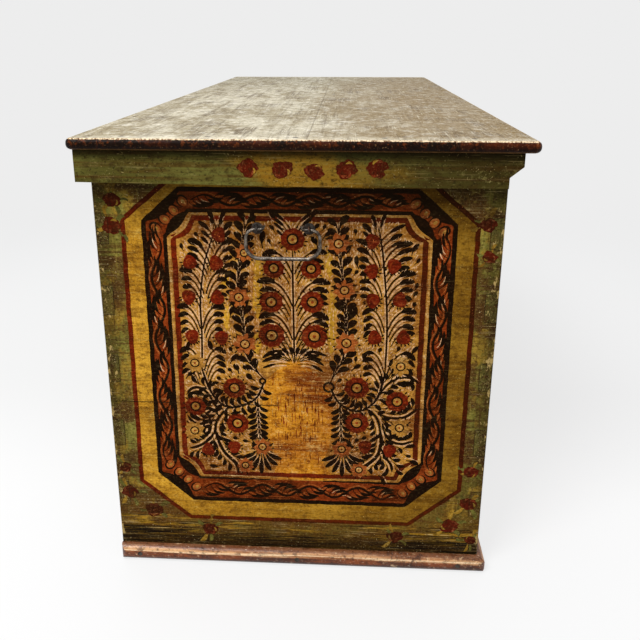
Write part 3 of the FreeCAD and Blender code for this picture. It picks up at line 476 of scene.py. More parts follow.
def octagon(left, right, foot, top, cut_across, cut_up):
    """Corners of a rectangle with its own corners cut, anticlockwise from the foot."""
    return [(left + cut_across, foot), (right - cut_across, foot), (right, foot + cut_up),
            (right, top - cut_up), (right - cut_across, top), (left + cut_across, top),
            (left, top - cut_up), (left, foot + cut_up)]


def between(a, b, share, off=0.0):
    """The point at that share of the way from a to b, moved off to the left of it."""
    size = math.dist(a, b)
    return [a[0] + (b[0] - a[0]) * share - (b[1] - a[1]) / size * off,
            a[1] + (b[1] - a[1]) * share + (b[0] - a[0]) / size * off]


def heading(a, b):
    """The angle in which b lies from a."""
    return math.atan2(b[1] - a[1], b[0] - a[0])


def out_from(u, v, reach, angle):
    """The point that far from a place, in the direction of the angle."""
    return [u + reach * math.cos(angle), v + reach * math.sin(angle)]


def ruled(paint, corners, width, level="line", closed=True, waver=0.5 * MM):
    """A line painted along a ruler, its edges a little unsteady."""
    path = []
    count = len(corners)
    for i in range(count if closed else count - 1):
        a, b = corners[i], corners[(i + 1) % count]
        steps = max(2, round(math.dist(a, b) / (9 * MM)))
        for k in range(steps):
            drift = waver * hand.uniform(-1, 1) if k else 0.0
            path.append(between(a, b, k / steps, -drift))
    if not closed:
        path.append(list(corners[-1]))
    brush(paint, path, width, even, level, closed)


def wedge(paint, a, b, depth):
    """A lens of paint along the line from a to b, to its left, or to its right where depth is negative."""
    path = [between(a, b, i / 12, depth / 2 * math.sin(math.pi * i / 12)) for i in range(13)]
    brush(paint, path, abs(depth), lens, "line")


def beside(path, off):
    """The path moved off to its own left."""
    moved = []
    for before, (u, v), after in zip(path[:1] + path, path, path[1:] + path[-1:]):
        du, dv = left_of(before, after)
        moved.append([u + du * off, v + dv * off])
    return moved


def glint(path, off, thin, light="cream"):
    """A thin light stroke beside a path, off to its left."""
    brush(light, beside(path, off), thin, even, "light")


def leaf(path, width, off, thin, part=slice(1, 8), light="cream"):
    """A black leaf along the path, and a thin light stroke off to the left of part of it."""
    brush("lamp_black", path, width, short_leaf, "leaf")
    glint(path[part], off, thin, light)


def vine(a, b, reach):
    """A vine that waves along the line from a to b, with black leaves and pale strokes in its bays."""
    size = math.dist(a, b)
    along = ((b[0] - a[0]) / size, (b[1] - a[1]) / size)

    def at(run, off):
        return [a[0] + along[0] * run - along[1] * off, a[1] + along[1] * run + along[0] * off]

    def swing(run):
        return reach * math.sin(math.tau * WAVES * run / size)

    steps = int(size / (2 * STEP))
    line = [at(size * i / steps, swing(size * i / steps)) for i in range(steps + 1)]
    brush("lamp_black", line, 3.4 * MM, even, "vine")
    glint(line, 3.6 * MM, 1.6 * MM, "orange")
    bay = size / (2 * WAVES)
    for i in range(2 * WAVES):
        side = -1 if i % 2 == 0 else 1
        for start, run, depth, fat in VINE_LEAVES:
            root = bay * (i + start + hand.uniform(-0.04, 0.04))
            tip = root + bay * run * hand.uniform(0.85, 1.1)
            pull = at(root + 0.15 * (tip - root), side * reach * (depth + 0.3))
            path = bow(at(root, swing(root) + side * MM), pull, at(tip, side * reach * depth), 10)
            leaf(path, fat * MM * hand.uniform(0.8, 1.2), side * -3.0 * MM, 1.3 * MM, slice(2, 8),
                 hand.choice(("orange", "orange", "orange", "cream")))


def bead_row(a, b, count, size):
    """Ochre ovals in a row across the band's cut corner, each held in a dark curl."""
    turn = heading(a, b)
    for i in range(count):
        u, v = between(a, b, (i + 0.5) / count)
        lean = turn + math.pi / 2 + hand.uniform(-0.2, 0.2)
        blob("orange", u, v, size, "dab", None, 14, 0.78, lean)
        blob("ochre", u + 0.8 * MM, v, size * 0.62, "light", None, 14, 0.70, lean)
        blob("straw", u + 1.2 * MM, v + 1.0 * MM, size * 0.26, "petal", None, 8, 0.5, lean)
        ring = []
        for k in range(14):
            w = math.radians(30 + 300 * k / 13)
            across, out = size * 1.1 * math.cos(w), size * 0.86 * math.sin(w)
            ring.append([u + across * math.cos(lean) - out * math.sin(lean),
                         v + across * math.sin(lean) + out * math.cos(lean)])
        brush("lamp_black", ring, 3.0 * MM, lens, "vine")


def circle(u, v, radius, paint, width, level):
    """A ring of paint."""
    path = [out_from(u, v, radius, math.tau * k / 18) for k in range(18)]
    brush(paint, path, width, even, level, True)


def arc(u, v, radius, start, end, paint, width, level="heart"):
    """Part of a ring, from a start to an end in degrees, pointed at both."""
    path = [out_from(u, v, radius, math.radians(start + (end - start) * k / 9)) for k in range(10)]
    brush(paint, path, width, lens, level)


def ticks(u, v, radius, count, start=0.0, spread=math.tau, size=0.38):
    """Short strokes that stand round a flower, as its sepals."""
    for k in range(count):
        w = start + spread * (k + hand.uniform(0.2, 0.8)) / count
        path = [out_from(u, v, r * radius, w + 0.12 * r) for r in (0.98, 1.0 + size * 0.5, 1.0 + size)]
        brush("lamp_black", path, 2.6 * MM, lens, "leaf")


def rosette(u, v, radius):
    """A red flower: scalloped petals with dark clefts, and an ochre heart in a black ring."""
    petals = 9
    spin = hand.uniform(0, 1)
    ticks(u, v, radius, 13)
    blob("orange", u, v, radius * 1.03, "light",
         lambda w: 1 + 0.07 * math.cos(petals * (w + spin)), 4 * petals)
    blob("madder_red", u, v, radius, "petal",
         lambda w: 1 + 0.06 * math.cos(petals * (w + spin)) + 0.04 * math.cos(2 * w), 4 * petals)
    for k in range(petals):
        w = math.tau * (k + 0.5) / petals - spin
        cleft = [out_from(u, v, r * radius, w) for r in (0.99, 0.80, 0.60)]
        brush("dark_red", cleft, 3.2 * MM, lambda t: 1.0 - 0.6 * t, "ring")
        w = math.tau * k / petals - spin + hand.uniform(-0.2, 0.2)
        gleam = [out_from(u, v, r * radius, w) for r in (0.58, 0.72, 0.88)]
        brush("red_brown", gleam, 2.6 * MM, lens, "ring")
    circle(u, v, radius * 0.46, "lamp_black", 2.8 * MM, "ring")
    blob("ochre", u, v, radius * 0.38, "heart", None, 14)
    arc(u, v, radius * 0.24, 60, 200, "straw", 1.8 * MM)
    blob("red_brown", u, v, radius * 0.14, "eye", None, 9)


def star_flower(u, v, radius, paint="orange", points=7):
    """An orange or ochre flower: pointed petals as single strokes, and a ringed heart."""
    spin = hand.uniform(0, 1)
    ticks(u, v, radius * 1.1, 11)
    for k in range(points):
        w = math.tau * k / points + spin
        path = [out_from(u, v, r * radius, w) for r in (0.2, 0.6, 0.9, 1.2)]
        brush(paint, path, radius * 0.95, lambda t: max(0.08, math.sin(math.pi * (0.28 + 0.72 * t))),
              "petal")
    circle(u, v, radius * 0.46, "lamp_black", 2.1 * MM, "ring")
    blob("straw", u, v, radius * 0.38, "heart", None, 12)
    blob("red_brown", u, v, radius * 0.13, "eye", None, 9)


def bud(u, v, radius):
    """A red bud with an orange gleam, in a cup of small black sepals."""
    ticks(u, v, radius, 9, math.radians(165), math.radians(210), 0.55)
    spin = hand.uniform(0, math.tau)
    blob("madder_red", u, v, radius, "petal", lambda w: 1 + 0.10 * math.cos(3 * w + spin), 18, 1.15)
    arc(u, v, radius * 0.5, 70, 230, "red_brown", 2.4 * MM, "ring")


def palm(u, v, side, reach, fall, arcs, rise, fat, droop):
    """Leaves that leave a stem on one side: thin stalks run up beside it, arch out and end in thick
    leaves one under the other, with pale strokes between them. They hang where droop is 1, and
    point up and out where it is 0."""
    for i in range(arcs):
        share = i / max(1, arcs - 1)
        wild = hand.uniform(-2, 2) * MM
        droop *= hand.uniform(0.7, 1.1)
        root = [u + side * (1.6 * MM + 2.1 * MM * i), v - rise - 7 * MM * i]
        tip = [u + side * (reach - 3 * MM * share + wild), v - fall * share + (4 - 15 * droop) * MM + wild]
        pull = [u + side * reach * (0.26 + 0.14 * share + 0.16 * droop),
                v - fall * share * 0.9 + (20 * droop - 6) * MM]
        path = bow(root, pull, tip, 19)
        for off, width in ((-3.0, 2.1), (2.6, 1.3)):
            glint(path[2:15], side * off * MM, width * MM)
        width = fat * (1.0 - 0.2 * share) * hand.uniform(0.8, 1.12)
        brush("lamp_black", path, width, long_leaf, "leaf")


def leaf_pairs(path, pitch, length, fat, first, spread, last=0.0):
    """Leaves in pairs along a stem: each leaves along it, arches out and ends round, over a pale
    stroke. They start after first, and stop before last."""
    lengths = [math.dist(a, b) for a, b in zip(path, path[1:])]
    run = first
    travelled = 0.0
    for a, b, size_here in zip(path, path[1:], lengths):
        travelled += size_here
        if travelled < run or travelled > sum(lengths) - last:
            continue
        run += pitch * hand.uniform(0.9, 1.1)
        ahead = heading(a, b)
        for side in (-1, 1):
            w = ahead + side * spread * hand.uniform(0.88, 1.12)
            size = length * hand.uniform(0.88, 1.12)
            pull = out_from(*a, 0.75 * size, ahead + side * spread * 0.25)
            arch = bow(list(a), pull, out_from(*a, size, w), 11)
            brush("lamp_black", arch, fat * hand.uniform(0.88, 1.12), short_leaf, "leaf")
            pale = [out_from(*place, 2.6 * MM, w - side * 1.8) for place in arch[1:9]]
            brush("cream", pale, 1.8 * MM, even, "light")


def arm(points, width, limits):
    """A bold arm that swells along its run, pale lines beside it, and a row of commas on each side
    that leave along the arm and curl away from it, within the limits: left, right, foot and top."""
    path = even_path(points)
    brush("lamp_black", path, width, lambda t: max(0.15, min(0.6 + 0.4 * t, 7 * (1 - t))), "vine")
    for side in (-1, 1):
        brush("cream", beside(path, side * (width / 2 + 1.1 * MM))[1:-2], 1.5 * MM, even, "light")
    for side in (-1, 1):
        row = beside(path, side * (width / 2 + 3.4 * MM))
        run = 0.0
        for a, b in zip(row[2:], row[3:-1]):
            run += math.dist(a, b)
            if run < 8.0 * MM:
                continue
            run = 0.0
            ahead = heading(a, b)
            size = 17 * MM * hand.uniform(0.8, 1.15)
            tip = out_from(*a, size, ahead + side * 0.75)
            if limits[0] < tip[0] < limits[1] and limits[2] < tip[1] < limits[3]:
                comma = bow(list(a), out_from(*a, 0.6 * size, ahead + side * 0.1), tip, 9)
                leaf(comma, 6.4 * MM * hand.uniform(0.85, 1.15), side * 3.4 * MM, 1.5 * MM)


def fill_room(limits, near, size, fat, urn, seat):
    """Leaves in whatever room is left within the limits, left, right, foot and top, each pointing up
    and away from the seat. There is room where no stroke comes within near cells, and the urn, of
    that half width and height, is left alone, as are the corners. Leaves too slim to hold their
    black are pale strokes."""
    slim = fat < 2 * MM
    left, low = (math.ceil((limit + size / 2) / CELL) for limit in limits[::2])
    right, high = (math.floor((limit - size / 2) / CELL) for limit in limits[1::2])
    cells = [(i, j) for i in range(left, right + 1) for j in range(low, high + 1)]
    corners = [(u, v) for u in limits[:2] for v in limits[2:]]
    hand.shuffle(cells)
    for i, j in cells:
        u, v = i * CELL, j * CELL
        if abs(u - seat[0]) < urn[0] and v < urn[1]:
            continue
        if any((i + a, j + b) in touched for a in range(-near, near + 1) for b in range(-near, near + 1)):
            continue
        w = heading(seat, (u, v)) + hand.uniform(-0.6, 0.6)
        half = size * hand.uniform(0.42, 0.58)
        start, tip = out_from(u, v, -half, w), out_from(u, v, half, w)
        if min(math.dist(end, corner) for end in (start, tip) for corner in corners) < CORNER_ROOM:
            continue
        turn = hand.choice((-1, 1)) * 0.35 * half
        path = bow(start, [u - turn * math.sin(w), v + turn * math.cos(w)], tip, 9)
        width = fat * hand.uniform(0.85, 1.15)
        if slim:
            brush("cream", path, width, short_leaf, "leaf")
        else:
            leaf(path, width, (fat / 2 + 1.2 * MM) * hand.choice((-1, 1)), 1.4 * MM)


def stem(points, width=2.2 * MM):
    """A black stem through the points, with a pale stroke along each side."""
    path = even_path(points)
    brush("lamp_black", path, width, even, "vine")
    for side in (-1, 1):
        brush("cream", [[u + side * 2.3 * MM, v] for u, v in path], 1.4 * MM, even, "light")
    return path


def rough_rose(u, v, radius, limit, leaves=5):
    """A rose dabbed on the olive ground, all of it within the limit box: left, right, foot, top."""
    def held(point):
        return [min(max(point[0], limit[0]), limit[1]), min(max(point[1], limit[2]), limit[3])]

    for k in range(leaves):
        w = math.tau * k / leaves + hand.uniform(-0.6, 0.6)
        reach = radius * hand.uniform(1.2, 2.0)
        path = bow(held(out_from(u, v, 0.4 * radius, w)), held(out_from(u, v, reach, w + 0.4)),
                   held(out_from(u, v, reach * 1.1, w + 0.1)), 7)
        brush("ochre_dab" if k % 2 else "moss_dab", path, radius * hand.uniform(0.3, 0.55), lens, "dab")
    centre = held([u, v])
    room = min([centre[0] - limit[0], limit[1] - centre[0], centre[1] - limit[2], limit[3] - centre[1]])
    size = min(radius, max(room, radius * 0.7))
    for k in range(4):
        w = math.tau * k / 4 + hand.uniform(-0.6, 0.6)
        blob("old_rose", *out_from(*centre, 0.30 * size, w), size * hand.uniform(0.55, 0.75), "petal",
             lambda a: 1 + 0.12 * math.cos(3 * a + u * 900 + k) + 0.08 * math.cos(7 * a + v * 500), 24,
             0.75)
    for k in range(3):
        w = hand.uniform(0, math.tau)
        turn = math.degrees(w)
        arc(*out_from(*centre, 0.3 * size, w), size * 0.4, turn, turn + 100,
            "rose_light" if k else "ochre_dab", size * 0.24, "ring")


CORNER_RADIUS = 26      # of the field's dark red line, in mm as all places in a panel
BEADS, BEAD = 4, 7.6 * MM
URN_STROKES = 150
URN_HALF, URN_TOP = 52 * MM, 345 * MM
ROSE_SHARE = 0.92       # size of the red flowers against their listed radius


def paint_panel(middle, narrow=1.0):
    """One octagonal panel with its urn of flowers, its places across the face drawn in by narrow."""
    def across(value):
        return middle + value * narrow * MM

    def at(u, v):
        return [across(u), v * MM]

    def points(*places):
        return [at(u, v) for u, v in places]

    def tuft(u, v, side, reach, fall, arcs, rise, fat, droop):
        palm(across(u), v * MM, side, reach * MM * narrow, fall * MM, arcs, rise * MM, fat * MM, droop)

    # Grounds and lines. The inner black line is worn through at its foot, and the straw one bows.
    outer = points(*octagon(-241, 236, 76, 606, 73, 62))
    black = points(*octagon(-212, 206, 109.5, 587, 50, 45))
    inner = points(*octagon(-183.5, 180, 146.5, 558, 33, 36))
    pale = points(*octagon(-179, 175.5, 151, 553.5, 33, 36))
    ground("mustard", outer, "ground")
    ground("red_brown", black, "band")
    ground("gold", inner, "field")
    ruled("dark_red", outer, 6.5 * MM)
    ruled("lamp_black", black, 6.5 * MM)
    worn_through = points((-45, 146.5), (34, 146.5))
    ruled("lamp_black", [worn_through[1]] + inner[1:] + [inner[0], worn_through[0]], 5.5 * MM, closed=False)
    bowed = [at(36, 151)]
    for i in (1, 3, 5, 7):
        a, b = pale[i], pale[(i + 1) % 8]
        for k in range(7):
            bowed.append(between(a, b, k / 6, 5 * MM * math.sin(math.pi * k / 6)))
    ruled("straw", bowed + [at(-20, 151)], 3.2 * MM, closed=False)
    for i in (1, 3, 5, 7):
        for line, depth in ((black, 13), (inner, -9), (inner, 6)):
            wedge("lamp_black", line[i], line[(i + 1) % 8], depth * MM)
        ends = [between(black[k % 8], inner[k % 8], 0.52) for k in (i, i + 1)]
        bead_row(between(*ends, -0.12), between(*ends, 1.12), BEADS, BEAD)

    # A dark red line round the field, rounded at its corners, and a vine in each side of the band.
    red = []
    for u, v, start in ((-172, 155, 90), (168.5, 155, 180), (168.5, 548, 270), (-172, 548, 360)):
        red += [at(*out_from(u, v, CORNER_RADIUS, math.radians(start - 90 * k / 7))) for k in range(8)]
    ruled("dark_red", red, 7.5 * MM)
    for start, end, reach in (((-197.5, 166), (-197.5, 530), 8), ((193, 166), (193, 530), 8),
                              ((-146, 128), (140, 128), 9), ((-146, 572.5), (140, 572.5), 7)):
        vine(at(*start), at(*end), reach * MM)

    # The urn, brushed over with short upright strokes.
    ground("urn_gold", even_path(points(
        (-36, 149), (44, 149), (42, 165), (34, 176), (42, 205), (47, 240), (46, 272), (40, 300), (28, 318),
        (14, 330), (12, 342), (-28, 342), (-30, 330), (-44, 316), (-52, 300), (-55, 272), (-52, 240),
        (-44, 205), (-34, 176), (-38, 165), (-36, 149)), 6 * MM)[:-1], "urn")
    for k in range(URN_STROKES):
        u, v = hand.uniform(-42, 33), hand.triangular(160, 318, 262)
        size = hand.uniform(5, 18)
        pull = at(u + hand.uniform(-1.5, 1.5), v + size / 2)
        scratch = bow(at(u, v), pull, at(u + hand.uniform(-1, 1), v + size), 5)
        brush(("dark_red", "red_brown", "red_brown", "straw")[k % 4], scratch,
              hand.uniform(0.8, 1.8) * MM, lens, "line")

    # Lighter places between the stems.
    for u, foot, top, wide in (
            (-59, 404, 494, 12), (-103, 386, 424, 8), (-104, 448, 480, 7), (44, 352, 446, 11),
            (97, 408, 456, 8), (40, 466, 508, 7), (-60, 350, 384, 8)):
        bare = points(*((u + hand.uniform(-2.5, 2.5), foot + (top - foot) * k / 5) for k in range(6)))
        brush("mustard", even_path(bare), wide * MM, lambda t: min(1.0, 5 * t, 5 * (1 - t)) + 0.02, "urn")

    # The middle stem with hanging leaves, leaves at its tip, and a fan of leaves on the urn's rim.
    stem(points((-8, 338), (-9, 400), (-10, 470), (-10, 505)), 2.4 * MM)
    for v, reach, arcs, rise, fat, droop in ((356, 46, 3, 6, 5.6, 1.0), (416, 50, 4, 42, 10.4, 1.0),
                                             (464, 50, 4, 40, 10.4, 0.9), (505, 44, 3, 34, 9.4, 0.7)):
        for side in (-1, 1):
            tuft(-9, v, side, reach, 11.6 * (arcs - 1), arcs, rise, fat, droop)
    for side in (-1, 1):
        tuft(-10, 552, side, 26, 22, 4, 24, 6, 0.0)
    for k in range(10):
        w = math.radians(8 + 18.2 * k)
        root = at(-8 + 9 * math.cos(w), 341)
        pull = [root[0] + 15 * MM * math.cos(w) * narrow, root[1] + 14 * MM * math.sin(w) + 5 * MM]
        tip = [root[0] + 30 * MM * math.cos(w) * narrow, root[1] + 22 * MM * math.sin(w)]
        leaf(bow(root, pull, tip, 10), 6.4 * MM, 3.6 * MM, 1.6 * MM)

    # The outer stems with hanging leaves, and the two stems beside the middle with leaves in pairs.
    for places, right_reach, top_reaches in (
            (((-141, 322), (-139, 380), (-139, 430), (-132, 480), (-122, 512), (-112, 538)), 33, (24, 20)),
            (((120, 322), (121, 380), (119, 430), (114, 480), (110, 512), (104, 538)), 42, (20, 36))):
        stem(points(*places), 2.4 * MM)
        for (u, _), v, droop in zip(places[1:5], (360, 424, 476, 518), (1.0, 0.9, 0.6, 0.3)):
            for side, reach in ((-1, 33), (1, right_reach)):
                tuft(u, v, side, reach, 36, 4, 36, 9.4, droop)
        for side, reach in zip((-1, 1), top_reaches):
            tuft(places[5][0], 538, side, reach, 22, 3, 26, 7.5, 0.0)
        for side in (-1, 1):
            tuft(places[5][0], 552, side, 10, 8, 2, 20, 7, 0.0)
    for places in (((-52, 312), (-66, 330), (-76, 352), (-80, 400), (-86, 450), (-80, 500), (-74, 536)),
                   ((42, 306), (52, 330), (62, 352), (64, 400), (60, 449), (54, 500), (51, 544))):
        leaf_pairs(stem(points(*places), 2.4 * MM), 13.6 * MM, 25 * MM * narrow, 9.4 * MM, 14 * MM, 0.62)

    # Handles of the urn, which curve up into the outer stems, and the rings where they start.
    for places in (((-52, 308), (-62, 284), (-80, 271), (-103, 266), (-120, 276), (-132, 296), (-141, 326)),
                   ((44, 300), (54, 280), (70, 268), (87, 266), (104, 277), (114, 296), (120, 326))):
        leaf_pairs(stem(points(*places), 4.2 * MM), 10 * MM, 17 * MM * narrow, 6.4 * MM, 8 * MM, 1.25,
                   last=30 * MM)
    for u, v, radius, width in ((41, 302, 7, 3.4), (-54, 309, 4, 3.0)):
        circle(*at(u, v), radius * MM, "lamp_black", width * MM, "vine")

    # Bold arms that curl down and out from the handles, and a hanging spray on each side of the urn.
    left_arms = (((-104, 266), (-117, 252), (-125, 234), (-122, 212), (-112, 190), (-96, 172), (-92, 152)),
                 ((-112, 262), (-124, 268), (-133, 286), (-146, 296), (-158, 294), (-166, 284)),
                 ((-120, 246), (-136, 240), (-150, 237), (-160, 242), (-166, 252)),
                 ((-124, 236), (-130, 218), (-142, 206), (-154, 199), (-166, 196)),
                 ((-119, 250), (-128, 262), (-140, 250)))
    right_arms = (((98, 268), (110, 256), (116, 238), (118, 216), (114, 194), (100, 178), (84, 168)),
                  ((110, 284), (122, 306), (138, 318), (156, 320), (170, 310)),
                  ((112, 262), (128, 256), (146, 256), (158, 262), (168, 272)),
                  ((119, 246), (124, 228), (136, 216), (152, 214), (166, 220)),
                  ((118, 206), (126, 190), (134, 178), (136, 166)))
    limits = (across(-167), across(163), 158 * MM, 546 * MM)
    for arms in (left_arms, right_arms):
        for k, places in enumerate(arms):
            arm(points(*places), (4.4 if k else 5.4) * MM, limits)
    for hang in (-62, 58):
        places = ((hang, 280), (hang + 1, 250), (hang + 2, 224), (hang + 4, 212))
        leaf_pairs(stem(points(*places)), 9 * MM, 21 * MM * narrow, 7.2 * MM, 4 * MM, 0.75)
        for k in range(7):
            w = math.radians(-90 + 20 * (k - 3))
            size = (40 - 4 * abs(k - 3)) * MM
            root = at(hang + 4 + 2 * (k - 3), 196)
            tip = [root[0] + size * math.cos(w) * narrow, root[1] + size * math.sin(w)]
            pull = [root[0] + 0.2 * size * math.cos(w), root[1] + 0.6 * size * math.sin(w)]
            leaf(bow(root, pull, tip, 12), 7.4 * MM, 3.6 * MM, 1.6 * MM, slice(1, 10))

    # Single leaves, then the flowers, and last small leaves in the room that is left.
    for u, v, lean in ((-128, 500, 120), (-104, 458, 60), (-98, 405, 70), (-122, 352, 110),
                       (-160, 350, 80), (-165, 310, 40), (-100, 335, 50), (98, 340, 120), (150, 500, 60),
                       (80, 480, 100), (82, 410, 110), (156, 352, 60), (160, 300, 90), (128, 330, 80),
                       (-30, 545, 120), (14, 545, 60), (30, 520, 40), (-58, 540, 110), (-128, 205, 230),
                       (116, 160, 300), (156, 186, 340), (150, 205, 20), (74, 280, 60),
                       (-84, 262, 200), (-72, 215, 280), (72, 220, 260)):
        w = math.radians(lean)
        start = at(u, v)
        path = bow(start, out_from(*start, 9 * MM, w + 0.4), out_from(*start, 19 * MM, w), 9)
        leaf(path, 7 * MM * hand.uniform(0.8, 1.15), 4 * MM, 1.5 * MM)
    for u, v, r in ((-10, 520, 17), (-36, 479, 15), (15, 479, 15), (-40, 430, 17), (17, 431, 17),
                    (-40, 380, 19), (20, 380, 19), (-95, 297, 17), (-92, 240, 17), (-153, 266, 16),
                    (81, 302, 18), (82, 246, 18), (139, 282, 17)):
        rosette(*at(u, v), ROSE_SHARE * r * MM)
    for u, v, r in ((-85, 436, 13), (-78, 366, 14), (-76, 500, 11), (52, 515, 13), (61, 449, 13),
                    (65, 371, 14), (-56, 202, 12), (61, 202, 12), (-82, 170, 11), (87, 168, 11)):
        star_flower(*at(u, v), r * MM)
    for u, v in ((142, 337), (-151, 335), (144, 240), (-156, 226)):
        star_flower(*at(u, v), 13 * MM, "ochre", 8)
    for u, v in ((97, 519), (127, 485), (97, 477), (100, 435), (137, 436), (104, 380), (144, 381),
                 (-110, 525), (-151, 486), (-115, 485), (-155, 435), (-115, 435), (-153, 376), (-111, 375),
                 (-137, 195), (-98, 200), (95, 207), (131, 202)):
        bud(*at(u, v), 9.5 * MM)
    for near, size, fat in ((3, 21, 9), (2, 16, 7.5), (1, 11, 5.4), (1, 9, 1.8), (0, 6, 1.5)):
        fill_room(limits, near, size * MM, fat * MM, (URN_HALF * narrow, URN_TOP), at(-5, 150))


TAIL_FIRST, TAIL_PITCH = 115, 104                   # heights of the dovetails' middles, in mm
TAIL_HALF, TAIL_ROOT_HALF = 22 * MM, 20 * MM        # half their height, at the edge and at the root


def joint_lines(width, seam, tails=0):
    """The dirt-filled lines round the dovetails at both edges and along the seam of the planks."""
    for side in (-1, 1):
        edge, root = side * width, side * width - side * WALL
        for k in range(tails):
            middle = (TAIL_FIRST + TAIL_PITCH * k) * MM
            corners = [(edge, middle - TAIL_HALF), (root, middle - TAIL_ROOT_HALF),
                       (root, middle + TAIL_ROOT_HALF), (edge, middle + TAIL_HALF)]
            ruled("dirt", corners, 0.6 * MM, "crack", False, 0.4 * MM)
    for k in range(3):
        start = -width + 2 * width * k / 3
        ruled("dirt", [(start, seam), (start + 2 * width * hand.uniform(0.12, 0.3), seam)],
              hand.uniform(0.5, 1.0) * MM, "crack", False, 0.5 * MM)


PAINTS = {      # fresh, aged and rubbed tones, how far it is rubbed, and the tone of its chips
    "mustard": ("#c8942c", "#af7c1f", "#6a4210", 0.5, "#e3bb5c"),
    "red_brown": ("#86340f", "#632505", "#381303", 0.7, "#bf6e36"),
    "gold": ("#b47f31", "#875219", "#5a2c09", 0.7, "#e6ba7c"),
    "urn_gold": ("#c4821e", "#a66318", "#632504", 0.9, "#f2c878"),
    "lamp_black": ("#0f0702", "#130802", "#1f0d04", 0.45, "#4c3a20"),
    "dark_red": ("#701e05", "#521303", "#361103", 0.55, "#96522a"),
    "madder_red": ("#6b1a06", "#521305", "#381104", 0.65, "#b0592a"),
    "orange": ("#a05420", "#884217", "#5d2c12", 0.55, "#cf9356"),
    "ochre": ("#a8742c", "#8c5c22", "#63401d", 0.5, "#dbb870"),
    "straw": ("#b8863c", "#9e6c2e", "#6e4a24", 0.6, "#e8cf96"),
    "cream": ("#d3a579", "#bb8b5b", "#754d2a", 0.65, "#f0dab0"),
    "old_rose": ("#531507", "#3c0f05", "#331a08", 0.85, "#8a5430"),
    "rose_light": ("#702a12", "#5a220e", "#4a2810", 0.75, "#bf8454"),
    "ochre_dab": ("#947022", "#7c5c1c", "#523a14", 0.85, "#c9a95a"),
    "moss_dab": ("#646028", "#544f22", "#433414", 0.85, "#a39550"),
    "dirt": ("#1d1208", "#25180c", "#2c1e10", 0.3, "#3a2916"),
}


def coat_of_paint(name, tones, grain, soot, lid_shade):
    """Brushed oil paint under old varnish: fresh and aged tones in patches, rubbed to the worn one.
    Soot is how much the varnish has browned towards the front corner; the last share darkens it towards
    the lid as painted shade under the cleat."""
    fresh, aged, worn, rub, fleck = tones
    material, tree, here = start_material(name, grain)
    colour = layers(
        tree, here, fresh, (aged, "Patch", 0.38, 0.60), (worn, "Streak", 0.46, 0.72, 0.4),
        (worn, "Rub", 0.0, 1.0, rub), (worn, "Blot", 0.50, 0.64, 0.65), (fleck, "Blot", 0.44, 0.30, 0.35),
        (worn, "Net", 0.0, 1.0, 0.3), ("#120802", "Grit", 0.50, 0.34, 0.55),
        (fleck, "Grit", 0.55, 0.70, 0.4), (fleck, "Scratch", 0.0, 1.0, 0.35))
    if soot:
        colour = layers(tree, here, colour, ("#241303", "Y", 0.12, -HALF_DEPTH, soot),
                        ("#3a2204", "Z", WALL_FOOT + 0.12, WALL_FOOT + 0.04, 0.3))
    # Painted shade under the cleat, darker towards the wall's top.
    if lid_shade:
        colour = lay(tree, colour, "#140b03", here["Z"], WALL_TOP - 0.15, WALL_TOP - 0.04, lid_shade)
    colour = layers(tree, here, colour, (fleck, "Fleck", 0.0, 1.0, 0.9),
                    ("#160c05", "Crack", 0.0, 1.0, 0.4))
    rough = add(tree, "MapRange", {0: here["Rub"], 3: 0.42, 4: 0.66})
    finish_material(tree, colour, rough, here["Height"], 0.0003, level=0.015)
    return material


def put(name, data):
    """A new object in the scene."""
    made = bpy.data.objects.new(name, data)
    bpy.context.scene.collection.objects.link(made)
    return made


def lay_paint(face, origin, right, body="carcass", place="front"):
    """Turn the strokes of the face in hand into one piece for each paint, on the upright face that
    starts at origin and runs right."""
    origin, right, up = Vector(origin), Vector(right), Vector((0, 0, 1))
    out = right.cross(up)
    for paint, (points, faces) in coats.items():
        mesh = bpy.data.meshes.new(f"{face}_{paint}")
        mesh.from_pydata([origin + right * u + up * v + out * lift for u, v, lift in points], [], faces)
        mesh.polygons.foreach_set("use_smooth", [True] * len(mesh.polygons))
        key = f"{paint}_oil_paint_on_{place}"
        material = bpy.data.materials.get(key)
        if material is None:
            at_end = place == "ends"
            sooty = at_end and paint in ("mustard", "dark_red")
            material = coat_of_paint(key, PAINTS[paint], ALONG_Y if at_end else ALONG_X,
                                     0.62 if sooty else 0.0, 0.75 if at_end else 0.0)
        mesh.materials.append(material)
        piece = put(f"{face}_{paint}", mesh)
        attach(piece, body)
    coats.clear()
    touched.clear()


